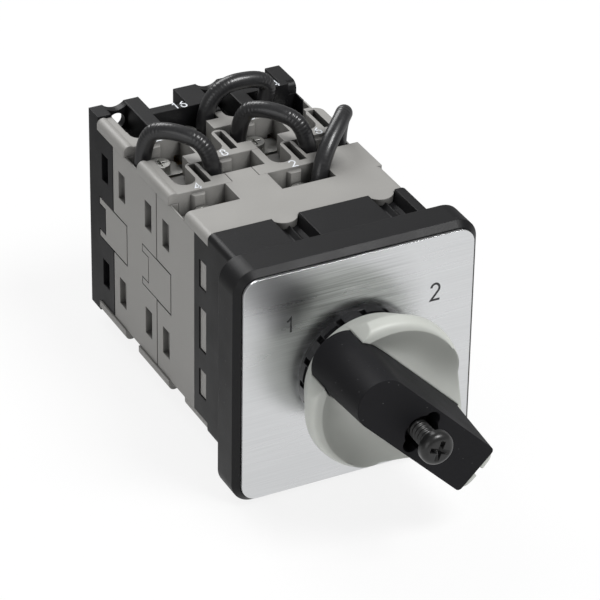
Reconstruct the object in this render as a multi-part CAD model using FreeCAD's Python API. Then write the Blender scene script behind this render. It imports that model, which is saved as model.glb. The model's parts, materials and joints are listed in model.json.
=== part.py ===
import FreeCAD, Part
import math
import os

# Rotary cam switch for panel mounting, with two contact modules and four contact levels.
# Frame: X to the right, Y from the knob towards the rear, Z up. The origin lies on the shaft
# axis, in the plane where the front frame meets the body. All lengths are millimetres.
# The knob is drawn in position 1, with its pointer 45 degrees to the left of straight up.

V = FreeCAD.Vector
AXIS_Y = V(0, 1, 0)

# Front frame and dial plate
FRAME_SIDE = 45.0
FRAME_DEPTH = 6.4
FRAME_CORNER = 4.0
FRAME_BEVEL = 1.1
FRAME_WALL = 3.4
FRAME_FLOOR = 2.2
FRAME_BOSS_R = 13.0
SEAT_DEPTH = 0.5
PLATE_SIDE = 42.6
PLATE_CORNER = 2.8
PLATE_THICK = 0.8
PLATE_SEAT = 0.3
PLATE_HOLE_R = 10.0

# Slotted neck collar round the shaft, in front of the plate
COLLAR_R = 11.1
COLLAR_HEIGHT = 2.3
COLLAR_SLOTS = 16
COLLAR_SLOT_WIDTH = 1.1
COLLAR_SLOT_DEPTH = 0.9
COLLAR_STEP_WIDTH = 3.0
COLLAR_STEP_DEPTH = 0.45
COLLAR_STEP_HEIGHT = 0.9
COLLAR_ROOT = 0.5

# Body cross-section
BODY_HALF_W = 18.7
SIDE_HALF_H = 17.6
DECK_RISE = 1.8
FLOOR_DROP = 3.1
EDGE_R = 1.2

# Stations along the switch
INDEX_DEPTH = 12.0
SKIRT_END = 17.2
DECK_END = 21.0
MODULE_PITCH = 18.1
MODULE_JOINT = 32.1
REAR_END = 60.5

# Index housing
INDEX_RISE = 0.5
INDEX_EDGE = 1.2
INDEX_FRONT_WALL = 3.0
INDEX_CAVITY_R = 11.5
INDEX_COVER_THICK = 1.0
SKIRT_THICK = 1.6
GROOVE_WIDTH = 5.1
GROOVE_DEPTH = 1.9
GROOVE_SLOPE = 0.7
GROOVE_RIB = 0.8
GROOVE_START = 1.5
NOSE_R = 2.6
NOSE_REACH = 1.5
DIMPLE_R = 1.0
DIMPLE_Y = 1.2
DIMPLE_OFFSET = 0.6
DIMPLE_RISE = 0.3

# Terminals: columns across the switch and rows along it
COLUMN_LEFT = 5.25
COLUMN_RIGHT = 4.85
ROW_STEP = 8.5
ROW_FIRST = 26.9
SLOT_HALF = 5.1
FINGER_HALF_W = 2.6
BLOCK_LENGTH = 12.2
REAR_BLOCK_LENGTH = 5.2
FLANGE_LENGTH = 3.1
RIM_LENGTH = 12.6
RIM_PROUD = 0.3
RIM_R = 1.1
RIM_RISE = 0.25
CUP_WALL = 1.45
CUP_WALLS = 4.1
CUP_START = 2.2
CUP_FLOOR = 0.7
POCKET_WIDTH = 1.3
POCKET_INSET = 1.3
POCKET_START = 1.7
POCKET_LENGTH = 6.6
POCKET_DEPTH = 3.5
POCKET_SHALLOW = 0.8
POST_LENGTH = 8.9
FLANGE_LIFT = 1.2
RIB_R = 1.3
RIB_PROUD = 0.9
RIB_TOP = 0.6
SCREW_SETBACK = 2.95

# Terminal hardware
TERMINAL_HEAD_R = 1.8
TERMINAL_HEAD_H = 1.5
TERMINAL_SHANK_R = 0.95
TERMINAL_SHANK_L = 3.2
SCREW_RUN = 0.5
DRIVE_HALF = 1.2
DRIVE_WIDTH = 0.4
DRIVE_DEPTH = 0.6
CLAMP_GAP = 0.4
CLAMP_LENGTH = 4.6
CLAMP_THICK = 0.8
CLAMP_CORNER = 0.7
STRAP_THICK = 0.8
STRAP_WIDTH = 3.4

# Shaft, cams and followers
SHAFT_SIDE = 6.0
SHAFT_FRONT = -20.0
SHAFT_REAR = 57.4
REAR_JOURNAL_R = 2.9
JOURNAL_R = 5.0
LEVEL_FIRST = 18.5
LEVEL_PITCH = 9.05
CAM_LOW_R = 5.2
CAM_LIFT = 1.6
CAM_WIDTH = 4.2
CAM_HUB_R = 4.7
CHAMBER_R = 7.3
CHAMBER_WIDTH = 5.5
CHAMBER_WALL = 3.3
CHAMBER_HALF_H = 7.5
FOLLOWER_HALF_H = 2.4
FOLLOWER_WIDTH = 3.6
FOLLOWER_NOSE_R = 0.9
FOLLOWER_FLANK = 1.5
FOLLOWER_EDGE = 0.6
SPRING_ROOM = 2.9
CONTACT_STACK = 3.9
CONTACT_TIP_R = 1.1
CONTACT_TIP_H = 0.5
CONTACT_SPAN = 4.9
BRIDGE_THICK = 0.7
BRIDGE_HALF_H = 6.3
SPRING_THICK = 0.3
SPRING_HALF_H = 4.6
SPRING_EDGE = 0.3
PARTITION_THICK = 0.8

# Index wheel and its springs
INDEX_LOBES = 8
INDEX_TIP_R = 8.6
INDEX_VALLEY_R = 7.4
LEAF_SPAN = 7.3
LEAF_RISE = 2.2
LEAF_ROOT = 0.9
LEAF_STEP = 0.8
LEAF_SHARES = (0.16, 0.41, 0.71)
STOP_RING_THICK = 1.6
STOP_INNER_R = 6.0
STOP_OUTER_R = 8.4
STOP_HALF_ANGLE = 12.0
STOP_WIDTH_ANGLE = 22.0
STOP_PLAY_ANGLE = 0.8
LUG_GAP = 0.3

# Knob
REST_ANGLE = -45.0
TURN_RANGE = 90.0
KNOB_REAR = -9.5
KNOB_R = 14.1
KNOB_REAR_R = 11.4
KNOB_DISC_THICK = 8.0
KNOB_WIDEST = 5.6
KNOB_LIP_R = 13.2
KNOB_CHORD = 11.9
KNOB_LIP_BULGE = 0.35
KNOB_LIP_DROP = 0.75
SCOOP_DEPTH = 3.1
SCOOP_R = 13.0
SCOOP_SHIFT = 1.3
SCOOP_VALLEY = 7.9
SCOOP_BEND = 6.4
TAIL_SHOULDER_X = 11.7
TAIL_SHOULDER_Z = 8.2
TAIL_TAPER = 2.0
TAIL_LEAN = 5.0
HANDLE_BASE_HALF_W = 5.5
HANDLE_TIP_HALF_W = 4.55
HANDLE_FRONT = -29.0
HANDLE_SEAT = 4.4
HANDLE_HEAD_END = 14.7
HANDLE_TAIL_END = 15.2
HANDLE_CORNER = 0.8
TAIL_EDGE = 0.5
TAIL_ROUND = 0.35
TAIL_BULGE = 1.6
TAIL_NOTCH = 1.4
TAIL_NOTCH_DEPTH = 0.8
TAIL_DROP = 0.6
SCREW_HEAD_R = 2.95
SCREW_HEAD_H = 2.0
SCREW_HEAD_ROUND = 1.2
SCREW_SHANK_R = 1.45
SCREW_HEAD_FRONT = -35.2
SCREW_LENGTH = 15.0
RECESS_ARM = 1.9
RECESS_WIDTH = 0.9
RECESS_DEPTH = 1.3
RECESS_ANGLE = 20.0
COUNTERBORE_R = 3.05
COUNTERBORE_DEPTH = 4.0
LOBE_R = 1.45
LOBE_OFFSET = 2.65

# Tie bolts through the stack
TIE_OUTSET = 2.4
TIE_Z = 9.5
TIE_R = 1.25
TIE_HEAD_R = 2.2
TIE_HEAD_H = 2.0
TIE_SINK = 0.3
TIE_SLOT_WIDTH = 0.7
TIE_SLOT_DEPTH = 0.8
TIE_TIP = 5.0

# Upper and lower edges of the rear plate
REAR_WALL = 3.9
CREST_RISE = 0.4
VALLEY_R = 3.0
VALLEY_DEPTH = 0.85
EYE_R = 1.6
EYE_WALL = 1.6
NOTCH_FLOOR = 2.4
NOTCH_SLOPE = 1.9
BRACKET_WIDTH = 2.2
BRACKET_ROUND = 1.4

# Side face details
WINDOW_LENGTH = 2.7
WINDOW_HEIGHT = 5.4
WINDOW_Z = 10.8
WINDOW_DEPTH = 1.0
DEEP_WINDOW_DEPTH = 1.8
WINDOW_SETBACK = 3.6
LATCH_EXTRA = 3.0
LATCH_SHIFT = 0.7
TONGUE_HALF_H = 3.9
TONGUE_REACH = 6.0
TONGUE_THICK = 1.2
TONGUE_ARM = 1.2
TONGUE_MOUTH = 2.5
TONGUE_ROOT = 5.4
SEAM = 0.3

# Jumper wires: heights over the clamp plates and places of the middle points
WIRE_R = 1.5
WIRE_GAP = 0.25
WALL_SKIN = 0.3
ARCH_RISE = 8.3
ARCH_TOP = 10.1
ARCH_END = 8.1
ARCH_SIDE = 3.8
ARCH_BACK = 4.2
SPAN_RISE = 9.0
SPAN_FOOT = 2.3
SPAN_LEAN = 1.6
SHORT_RISE = 5.5
SHORT_TOP = 10.9
SHORT_END = 6.1
SHORT_X = 3.0
SHORT_Y = 1.4
SHORT_LEAN_X = 0.4
SHORT_LEAN_Y = 2.6
BEND_SHARE = 0.45

# Clearances
FIT = 0.05
PLAY = 0.1
LOOSE = 0.2

# Worked-out places
HALF_FRAME = FRAME_SIDE / 2
DECK_Z = SIDE_HALF_H + DECK_RISE
FLOOR_Z = SIDE_HALF_H - FLOOR_DROP
CREST_Z = DECK_Z + CREST_RISE
INDEX_HALF_H = DECK_Z + INDEX_RISE
INNER_HALF_W = BODY_HALF_W - SKIRT_THICK
CHAMBER_HALF_W = BODY_HALF_W - CHAMBER_WALL
FOLLOWER_END = CHAMBER_HALF_W - SPRING_ROOM
CONTACT_LEG_X = FOLLOWER_END - CONTACT_STACK
COLUMN_FIRST = COLUMN_LEFT - BODY_HALF_W
COLUMN_PITCH = (2 * BODY_HALF_W - COLUMN_LEFT - COLUMN_RIGHT) / 1.5
BLOCK_HALF_W = COLUMN_PITCH / 2 - SLOT_HALF
FLANGE_HALF_W = COLUMN_PITCH / 2 - FINGER_HALF_W
CUP_WIDTH = 2 * BLOCK_HALF_W - CUP_WALLS
CUP_OFFSET = CUP_WALL + CUP_WIDTH / 2 - BLOCK_HALF_W
WIRE_ENTRY = SLOT_HALF - WIRE_R - WIRE_GAP
TIE_X = CONTACT_LEG_X + TIE_OUTSET
PLATE_FRONT = -(FRAME_DEPTH - PLATE_SEAT + PLATE_THICK)
COLLAR_FRONT = PLATE_FRONT - COLLAR_HEIGHT
COLUMNS_A = [COLUMN_FIRST, COLUMN_FIRST + COLUMN_PITCH]
COLUMNS_B = [x + COLUMN_PITCH / 2 for x in COLUMNS_A]
REAR_JOINT = MODULE_JOINT + MODULE_PITCH
KNOB_FRONT = KNOB_REAR - KNOB_DISC_THICK
KNOB_WIDE_Y = KNOB_REAR - KNOB_WIDEST
SCOOP_FLOOR = KNOB_FRONT + SCOOP_DEPTH
TERMINAL_TOP = FLOOR_Z + CLAMP_THICK
LEVELS = [LEVEL_FIRST + LEVEL_PITCH * i for i in range(4)]
ROWS = [
    ("a", ROW_FIRST),
    ("b", ROW_FIRST + ROW_STEP),
    ("a", ROW_FIRST + MODULE_PITCH),
    ("b", ROW_FIRST + MODULE_PITCH + ROW_STEP),
]


def columns(kind):
    """Return the screw positions across the switch for a row of this kind."""
    return COLUMNS_A if kind == "a" else COLUMNS_B


def box(x0, x1, y0, y1, z0, z1):
    """Return a box between the given planes."""
    return Part.makeBox(x1 - x0, y1 - y0, z1 - z0, V(x0, y0, z0))


def rod_y(radius, y0, y1, x=0.0, z=0.0):
    """Return a cylinder along Y."""
    return Part.makeCylinder(radius, y1 - y0, V(x, y0, z), AXIS_Y)


def rod_x(radius, x0, x1, y, z):
    """Return a cylinder along X."""
    return Part.makeCylinder(radius, x1 - x0, V(x0, y, z), V(1, 0, 0))


def rod_z(radius, z0, z1, x, y):
    """Return a cylinder along Z."""
    return Part.makeCylinder(radius, z1 - z0, V(x, y, z0), V(0, 0, 1))


def prism_y(points, y0, y1):
    """Extrude an outline of (x, z) points from y0 to y1."""
    wire = Part.makePolygon([V(x, y0, z) for x, z in points + points[:1]])
    return Part.Face(wire).extrude(V(0, y1 - y0, 0))


def prism_x(points, x0, x1):
    """Extrude an outline of (y, z) points from x0 to x1."""
    wire = Part.makePolygon([V(x0, y, z) for y, z in points + points[:1]])
    return Part.Face(wire).extrude(V(x1 - x0, 0, 0))


def fuse(shapes):
    """Join shapes into one clean solid."""
    return shapes[0].fuse(shapes[1:]).removeSplitter()


def cut(shape, tools):
    """Cut a list of tools from a shape."""
    return shape.cut(Part.makeCompound(tools)).removeSplitter()


def edges_along(shape, axis, keep):
    """Return the straight edges along an axis whose middle passes the keep test."""
    found = []
    for edge in shape.Edges:
        if edge.Curve.TypeId != "Part::GeomLine":
            continue
        span = edge.Vertexes[-1].Point - edge.Vertexes[0].Point
        if abs(abs(span.normalize().dot(axis)) - 1) < 1e-6 and keep(edge.CenterOfMass):
            found.append(edge)
    return found


def up_down(shape):
    """Return a shape made for the upper side together with its mirror image below."""
    return [shape, shape.mirror(V(0, 0, 0), V(0, 0, 1))]


def left_right(shape):
    """Return a shape and its mirror image on the other side of the shaft."""
    return [shape, shape.mirror(V(0, 0, 0), V(1, 0, 0))]


def turned(shape, angle):
    """Return the shape turned about the shaft axis."""
    copy = shape.copy()
    copy.rotate(V(0, 0, 0), AXIS_Y, angle)
    return copy


def rounded_plate(side, corner, y0, y1):
    """Return a square plate with rounded corners, across the shaft axis."""
    half = side / 2
    plate = box(-half, half, y0, y1, -half, half)
    return plate.makeFillet(corner, edges_along(plate, AXIS_Y, lambda p: True))


def front_frame():
    """Black bezel: a bevelled square front, hollow behind, with a seat for the index housing."""
    frame = rounded_plate(FRAME_SIDE, FRAME_CORNER, -FRAME_DEPTH, 0)
    front_edges = [e for e in frame.Edges if abs(e.CenterOfMass.y + FRAME_DEPTH) < 1e-6]
    frame = frame.makeChamfer(FRAME_BEVEL, front_edges)
    half = HALF_FRAME - FRAME_WALL - FRAME_CORNER / 2
    pocket = box(-half, half, -FRAME_DEPTH + FRAME_FLOOR, 1, -half, half)
    pocket = pocket.cut(rod_y(FRAME_BOSS_R, -FRAME_DEPTH, 2))
    w, h = BODY_HALF_W + PLAY, INDEX_HALF_H + PLAY
    recess = box(-w, w, -SEAT_DEPTH, 1, -h, h)
    seat = rounded_plate(PLATE_SIDE + 2 * PLAY, PLATE_CORNER + PLAY, -FRAME_DEPTH - 1,
                         -FRAME_DEPTH + PLATE_SEAT)
    bore = rod_y(JOURNAL_R + FIT, -FRAME_DEPTH - 1, 1)
    return cut(frame, [pocket, recess, seat, bore])


def dial_plate():
    """Metal face plate with a round window for the collar."""
    plate = rounded_plate(PLATE_SIDE, PLATE_CORNER, PLATE_FRONT, PLATE_FRONT + PLATE_THICK)
    return plate.cut(rod_y(PLATE_HOLE_R, PLATE_FRONT - 1, 0))


def neck_collar():
    """Slotted ring that centres the knob in front of the plate."""
    ring = rod_y(COLLAR_R, COLLAR_FRONT, PLATE_FRONT)
    ring = ring.fuse(rod_y(PLATE_HOLE_R - PLAY, PLATE_FRONT, PLATE_FRONT + PLATE_THICK))
    reach = COLLAR_R + 1
    slot = box(-COLLAR_SLOT_WIDTH / 2, COLLAR_SLOT_WIDTH / 2, COLLAR_FRONT - 1, PLATE_FRONT - COLLAR_ROOT,
               COLLAR_R - COLLAR_SLOT_DEPTH, reach)
    step = box(-COLLAR_STEP_WIDTH / 2, COLLAR_STEP_WIDTH / 2, COLLAR_FRONT - 1,
               COLLAR_FRONT + COLLAR_STEP_HEIGHT, COLLAR_R - COLLAR_STEP_DEPTH, reach)
    pitch = 360 / COLLAR_SLOTS
    tools = [turned(slot, pitch * i) for i in range(COLLAR_SLOTS)]
    tools += [turned(step, pitch * (i + 0.5)) for i in range(0, COLLAR_SLOTS, 2)]
    tools.append(rod_y(JOURNAL_R + FIT, COLLAR_FRONT - 1, 0))
    return cut(ring, tools)


def side_windows(stations, depth):
    """Return cutting blocks for the square recesses in both side faces."""
    tools = []
    for y in stations:
        for z in (WINDOW_Z, -WINDOW_Z):
            pocket = box(-BODY_HALF_W - 1, -BODY_HALF_W + depth, y - WINDOW_LENGTH / 2, y + WINDOW_LENGTH / 2,
                         z - WINDOW_HEIGHT / 2, z + WINDOW_HEIGHT / 2)
            tools += left_right(pocket)
    return tools


def skirt_windows(grow=0.0):
    """Return the three latch openings on each side, through the skirts."""
    centre = (INDEX_DEPTH + SKIRT_END) / 2 - LATCH_SHIFT
    tools = []
    heights = (WINDOW_HEIGHT, WINDOW_HEIGHT + LATCH_EXTRA, WINDOW_HEIGHT)
    for z, height in zip((WINDOW_Z, 0.0, -WINDOW_Z), heights):
        opening = box(-BODY_HALF_W - 1 + grow, -BODY_HALF_W + SKIRT_THICK + LOOSE,
                      centre - WINDOW_LENGTH / 2 + grow, centre + WINDOW_LENGTH / 2 - 2 * grow,
                      z - height / 2 + grow, z + height / 2 - grow)
        tools += left_right(opening)
    return tools


def groove_tools():
    """Return the wire grooves over the index housing, each with a soft ridge, for the upper side."""
    top, floor = INDEX_HALF_H, INDEX_HALF_H - GROOVE_DEPTH
    half = GROOVE_WIDTH / 2
    foot = half - GROOVE_SLOPE
    tools = []
    for x in COLUMNS_B:
        outline = [(x - half, top), (x - half, top + 1), (x + half, top + 1), (x + half, top),
                   (x + foot, floor), (x + GROOVE_RIB, floor), (x, floor + GROOVE_RIB),
                   (x - GROOVE_RIB, floor), (x - foot, floor)]
        tools.append(prism_y(outline, GROOVE_START, INDEX_DEPTH + 1))
        tools.append(box(x - GROOVE_RIB, x + GROOVE_RIB, INDEX_DEPTH - NOSE_REACH - PLAY, INDEX_DEPTH + 1,
                         floor, top))
    return tools


def index_housing():
    """Black front section that holds the index wheel, with skirts that latch the modules."""
    w, h = BODY_HALF_W, INDEX_HALF_H
    body = box(-w, w, -SEAT_DEPTH, INDEX_DEPTH, -h, h)
    body = body.makeFillet(INDEX_EDGE, edges_along(body, AXIS_Y, lambda p: True))
    skirt = box(-w, -w + SKIRT_THICK, INDEX_DEPTH - 1, SKIRT_END, -SIDE_HALF_H, SIDE_HALF_H)
    body = fuse([body] + left_right(skirt))
    tools = [rod_y(INDEX_CAVITY_R, INDEX_FRONT_WALL, INDEX_DEPTH + 1), rod_y(JOURNAL_R + FIT, -1, INDEX_DEPTH)]
    for groove in groove_tools():
        tools += up_down(groove)
    for x in COLUMNS_A:
        tools += up_down(Part.makeSphere(DIMPLE_R, V(x + DIMPLE_OFFSET, DIMPLE_Y, h + DIMPLE_RISE)))
    tools += skirt_windows()
    tools += tie_holes(TIE_TIP - SEAM, INDEX_DEPTH + 1, TIE_R + FIT)
    body = cut(body, tools)
    return fuse([body] + index_stops())


def ring_sector(inner, outer, y0, y1, start, end):
    """Return a sector of a ring; angles run from +Z towards +X, in degrees."""
    def at(radius, angle):
        a = math.radians(angle)
        return V(radius * math.sin(a), y0, radius * math.cos(a))
    mid = (start + end) / 2
    edges = [
        Part.Arc(at(outer, start), at(outer, mid), at(outer, end)).toShape(),
        Part.LineSegment(at(outer, end), at(inner, end)).toShape(),
        Part.Arc(at(inner, end), at(inner, mid), at(inner, start)).toShape(),
        Part.LineSegment(at(inner, start), at(outer, start)).toShape(),
    ]
    return Part.Face(Part.Wire(edges)).extrude(V(0, y1 - y0, 0))


def index_stops():
    """Return the two stop blocks on the front wall; the wheel's lug turns between them."""
    first = 180 + REST_ANGLE - STOP_HALF_ANGLE - STOP_PLAY_ANGLE
    last = 180 + REST_ANGLE + TURN_RANGE + STOP_HALF_ANGLE + STOP_PLAY_ANGLE
    y0, y1 = INDEX_FRONT_WALL - 0.5, INDEX_FRONT_WALL + STOP_RING_THICK
    return [
        ring_sector(STOP_INNER_R, STOP_OUTER_R, y0, y1, first - STOP_WIDTH_ANGLE, first),
        ring_sector(STOP_INNER_R, STOP_OUTER_R, y0, y1, last, last + STOP_WIDTH_ANGLE),
    ]


def index_cover():
    """Disc that closes the index chamber."""
    disc = rod_y(INDEX_CAVITY_R - PLAY, INDEX_DEPTH - INDEX_COVER_THICK, INDEX_DEPTH)
    return disc.cut(rod_y(CAM_HUB_R + PLAY, 0, INDEX_DEPTH + 1))


def index_wheel():
    """Star wheel with eight soft lobes, a stop lug and the front journal of the rotor."""
    y0 = INDEX_FRONT_WALL + STOP_RING_THICK + LOOSE
    y1 = INDEX_DEPTH - INDEX_COVER_THICK - LOOSE
    mean = (INDEX_TIP_R + INDEX_VALLEY_R) / 2
    swing = (INDEX_TIP_R - INDEX_VALLEY_R) / 2
    steps = INDEX_LOBES * 6
    points = []
    for i in range(steps):
        a = 2 * math.pi * i / steps
        r = mean - swing * math.cos(INDEX_LOBES * a)
        points.append(V(r * math.sin(a), y0, r * math.cos(a)))
    curve = Part.BSplineCurve()
    curve.interpolate(points, PeriodicFlag=True)
    star = Part.Face(Part.Wire(curve.toShape())).extrude(V(0, y1 - y0, 0))
    journal = rod_y(JOURNAL_R, COLLAR_FRONT + LUG_GAP, y0)
    front = 180 + REST_ANGLE
    lug = ring_sector(JOURNAL_R - 0.5, STOP_OUTER_R - LUG_GAP, INDEX_FRONT_WALL + LOOSE, y0,
                      front - STOP_HALF_ANGLE, front + STOP_HALF_ANGLE)
    wheel = fuse([star, journal, lug])
    return wheel.cut(turned(square_bore(COLLAR_FRONT - 1, y1 + 1), REST_ANGLE))


def square_bore(y0, y1):
    """Return the square hole that slides over the shaft."""
    half = SHAFT_SIDE / 2 + FIT
    return box(-half, half, y0, y1, -half, half)


def bent_strip(points, thickness, y0, y1):
    """Return a strip of even thickness that follows a smooth line of (x, z) points."""
    curve = Part.BSplineCurve()
    curve.interpolate([V(x, y0, z) for x, z in points])
    back = []
    for i in range(len(points)):
        t = curve.FirstParameter + (curve.LastParameter - curve.FirstParameter) * i / (len(points) - 1)
        point, tangent = curve.value(t), curve.tangent(t)[0]
        back.append(point + V(-tangent.z, 0, tangent.x) * thickness)
    other = Part.BSplineCurve()
    other.interpolate(back)
    edges = [
        curve.toShape(),
        Part.LineSegment(curve.EndPoint, other.EndPoint).toShape(),
        other.toShape(),
        Part.LineSegment(other.StartPoint, curve.StartPoint).toShape(),
    ]
    return Part.Face(Part.Wire(Part.sortEdges(edges)[0])).extrude(V(0, y1 - y0, 0))


def index_springs():
    """Two bowed leaf springs whose noses rest in valleys of the star wheel."""
    near, rise, crest = [share * LEAF_SPAN for share in LEAF_SHARES]
    v = INDEX_VALLEY_R
    right = [(near, v + LEAF_STEP), (rise, v + LEAF_RISE - PLAY), (crest, v + LEAF_RISE),
             (LEAF_SPAN, v + LEAF_ROOT)]
    line = [(-x, z) for x, z in reversed(right)] + [(0, v + PLAY)] + right
    y0 = INDEX_FRONT_WALL + STOP_RING_THICK + 2 * LOOSE
    leaf = bent_strip(line, SPRING_THICK, y0, INDEX_DEPTH - INDEX_COVER_THICK - 2 * LOOSE)
    return Part.makeCompound(up_down(leaf))


def chamber(level, front, rear):
    """Return the hollow of one contact level, open towards the named end of its housing."""
    y0 = min(level - CHAMBER_WIDTH / 2, front)
    y1 = max(level + CHAMBER_WIDTH / 2, rear)
    w, h = CHAMBER_HALF_W, CHAMBER_HALF_H
    hollow = [rod_y(CHAMBER_R, y0, y1)]
    inner = CONTACT_LEG_X - LOOSE
    side = box(-w, -inner, y0, y1, -h, h)
    throat = box(-inner - 1, -CAM_LOW_R + 1, y0, y1, -FOLLOWER_HALF_H - FIT, FOLLOWER_HALF_H + FIT)
    leg_x0 = CONTACT_LEG_X - PLAY
    leg = box(-leg_x0 - STRAP_THICK - 2 * PLAY, -leg_x0, level - STRAP_WIDTH / 2 - PLAY,
              level + STRAP_WIDTH / 2 + PLAY, 0, FLOOR_Z - STRAP_THICK + PLAY)
    hollow += left_right(side) + left_right(throat)
    for part in left_right(leg):
        hollow += up_down(part)
    return fuse(hollow)


def strap_outline(level, x_screw, y_screw, side, grow):
    """Return the flat L-shaped part of a fixed contact, seen from above, as two boxes."""
    z1 = FLOOR_Z
    z0 = z1 - STRAP_THICK - grow
    x_leg = side * (CONTACT_LEG_X + STRAP_THICK / 2)
    half = STRAP_WIDTH / 2 + grow
    x_low = min(x_leg - STRAP_THICK / 2 - grow, x_screw - half)
    x_high = max(x_leg + STRAP_THICK / 2 + grow, x_screw + half)
    across = box(x_low, x_high, level - half, level + half, z0, z1)
    along = box(x_screw - half, x_screw + half, level - half, y_screw + half, z0, z1)
    return [across, along]


def strap_sets():
    """Return (level number, level, screw x, screw y, side) for each upper terminal."""
    found = []
    for number, (level, (kind, front)) in enumerate(zip(LEVELS, ROWS), start=1):
        for side, x in zip((-1, 1), columns(kind)):
            found.append((number, level, x, front - SCREW_SETBACK, side))
    return found


def fixed_contact(level, x_screw, y_screw, side):
    """One stamped contact: a strap under the clamp, a leg down to the chamber and a tip."""
    parts = strap_outline(level, x_screw, y_screw, side, 0.0)
    x0 = CONTACT_LEG_X
    low = CONTACT_SPAN - CONTACT_TIP_R - 0.1
    half = STRAP_WIDTH / 2
    leg = box(x0, x0 + STRAP_THICK, level - half, level + half, low, FLOOR_Z)
    tip = rod_x(CONTACT_TIP_R, x0 + STRAP_THICK - 0.2, x0 + STRAP_THICK + CONTACT_TIP_H, level, CONTACT_SPAN)
    pair = [leg, tip]
    if side < 0:
        pair = [p.mirror(V(0, 0, 0), V(1, 0, 0)) for p in pair]
    contact = fuse(parts + pair)
    return contact.cut(rod_z(TERMINAL_SHANK_R + FIT, 0, FLOOR_Z + 1, x_screw, y_screw))


def fixed_contacts(number):
    """Return the four fixed contacts of one level, as separate pieces."""
    pieces = []
    for n, level, x, y, side in strap_sets():
        if n == number:
            pieces += up_down(fixed_contact(level, x, y, side))
    return Part.makeCompound(pieces)


def wire_reliefs():
    """Return the pockets that thin the side walls beside the outermost terminals."""
    tools = []
    for kind, front in ROWS:
        for x in columns(kind):
            if abs(x) < INNER_HALF_W - BLOCK_HALF_W:
                continue
            side = 1 if x > 0 else -1
            ends = sorted((side * (INNER_HALF_W - 1), side * (BODY_HALF_W - WALL_SKIN)))
            entry_front = front - 2 * SCREW_SETBACK
            tools += up_down(box(ends[0], ends[1], entry_front, front - FIT, FLOOR_Z, DECK_Z + 1))
    return tools


def strap_pockets():
    """Return the pockets for all straps and terminal screws, above and below."""
    tools = wire_reliefs()
    for _, level, x, y, side in strap_sets():
        for part in strap_outline(level, x, y, side, PLAY):
            tools += up_down(part)
        low = TERMINAL_TOP - TERMINAL_SHANK_L - SCREW_RUN
        tools += up_down(rod_z(TERMINAL_SHANK_R + PLAY, low, FLOOR_Z + 1, x, y))
    return tools


def terminal_screws():
    """All sixteen cross-recessed terminal screws, axis towards the wire side."""
    pieces = []
    top = TERMINAL_TOP + TERMINAL_HEAD_H
    arm, half = DRIVE_HALF, DRIVE_WIDTH / 2
    for _, _, x, y, _ in strap_sets():
        head = rod_z(TERMINAL_HEAD_R, TERMINAL_TOP, top, x, y)
        shank = rod_z(TERMINAL_SHANK_R, TERMINAL_TOP - TERMINAL_SHANK_L, TERMINAL_TOP + PLAY, x, y)
        slots = [box(x - arm, x + arm, y - half, y + half, top - DRIVE_DEPTH, top + 1),
                 box(x - half, x + half, y - arm, y + arm, top - DRIVE_DEPTH, top + 1)]
        pieces += up_down(cut(head.fuse(shank), slots))
    return Part.makeCompound(pieces)


def terminal_clamps():
    """All sixteen clamp plates under the screw heads."""
    pieces = []
    for _, _, x, y, _ in strap_sets():
        half_w = min(SLOT_HALF - CLAMP_GAP, INNER_HALF_W - abs(x))
        half_l = CLAMP_LENGTH / 2
        plate = box(x - half_w, x + half_w, y - half_l, y + half_l, FLOOR_Z, TERMINAL_TOP)
        plate = plate.makeFillet(CLAMP_CORNER, edges_along(plate, V(0, 0, 1), lambda p: True))
        pieces += up_down(plate.cut(rod_z(TERMINAL_SHANK_R + FIT, 0, DECK_Z, x, y)))
    return Part.makeCompound(pieces)


def tie_holes(y0, y1, radius=TIE_R + PLAY):
    """Return the clearance holes for the two tie bolts."""
    return [rod_y(radius, y0, y1, x, z) for x, z in ((TIE_X, TIE_Z), (-TIE_X, -TIE_Z))]


def tongue(root, tools, adds):
    """Add the flat latch tongues of a housing that end in two arms over the next piece."""
    reach = root + TONGUE_REACH
    x0 = -BODY_HALF_W
    plate = box(x0, x0 + TONGUE_THICK, root - 1, reach, -TONGUE_HALF_H, TONGUE_HALF_H)
    mouth = box(x0 - 1, x0 + TONGUE_THICK + 1, reach - TONGUE_MOUTH, reach + 1,
                -TONGUE_HALF_H + TONGUE_ARM, TONGUE_HALF_H - TONGUE_ARM)
    adds += left_right(plate.cut(mouth))
    line = root - TONGUE_ROOT
    hinge = box(x0 - 1, x0 + SEAM, line - SEAM, line, -TONGUE_HALF_H, TONGUE_HALF_H)
    tools += left_right(hinge)
    for z in (-TONGUE_HALF_H - SEAM, TONGUE_HALF_H):
        tools += left_right(box(x0 - 1, x0 + SEAM, root - TONGUE_ROOT - SEAM, root + 0.01, z, z + SEAM))


def tongue_seat(root, tools):
    """Sink the place where a latch tongue of the piece in front lies, round its centre tab."""
    reach = root + TONGUE_REACH
    x0 = -BODY_HALF_W
    half = TONGUE_HALF_H + LOOSE
    seat = box(x0 - 1, x0 + TONGUE_THICK, root - 1, reach + LOOSE, -half, half)
    tab_half = TONGUE_HALF_H - TONGUE_ARM - LOOSE
    tab = box(x0 - 1, x0 + TONGUE_THICK + 0.1, reach - TONGUE_MOUTH + LOOSE, reach + 1, -tab_half, tab_half)
    tools += left_right(seat.cut(tab))


def seam(station):
    """Return the fine joint line down both sides where a module meets the piece in front."""
    x0 = -BODY_HALF_W
    line = box(x0 - 1, x0 + SEAM, station - 1, station + SEAM, -SIDE_HALF_H - 1, SIDE_HALF_H + 1)
    return left_right(line)


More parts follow.
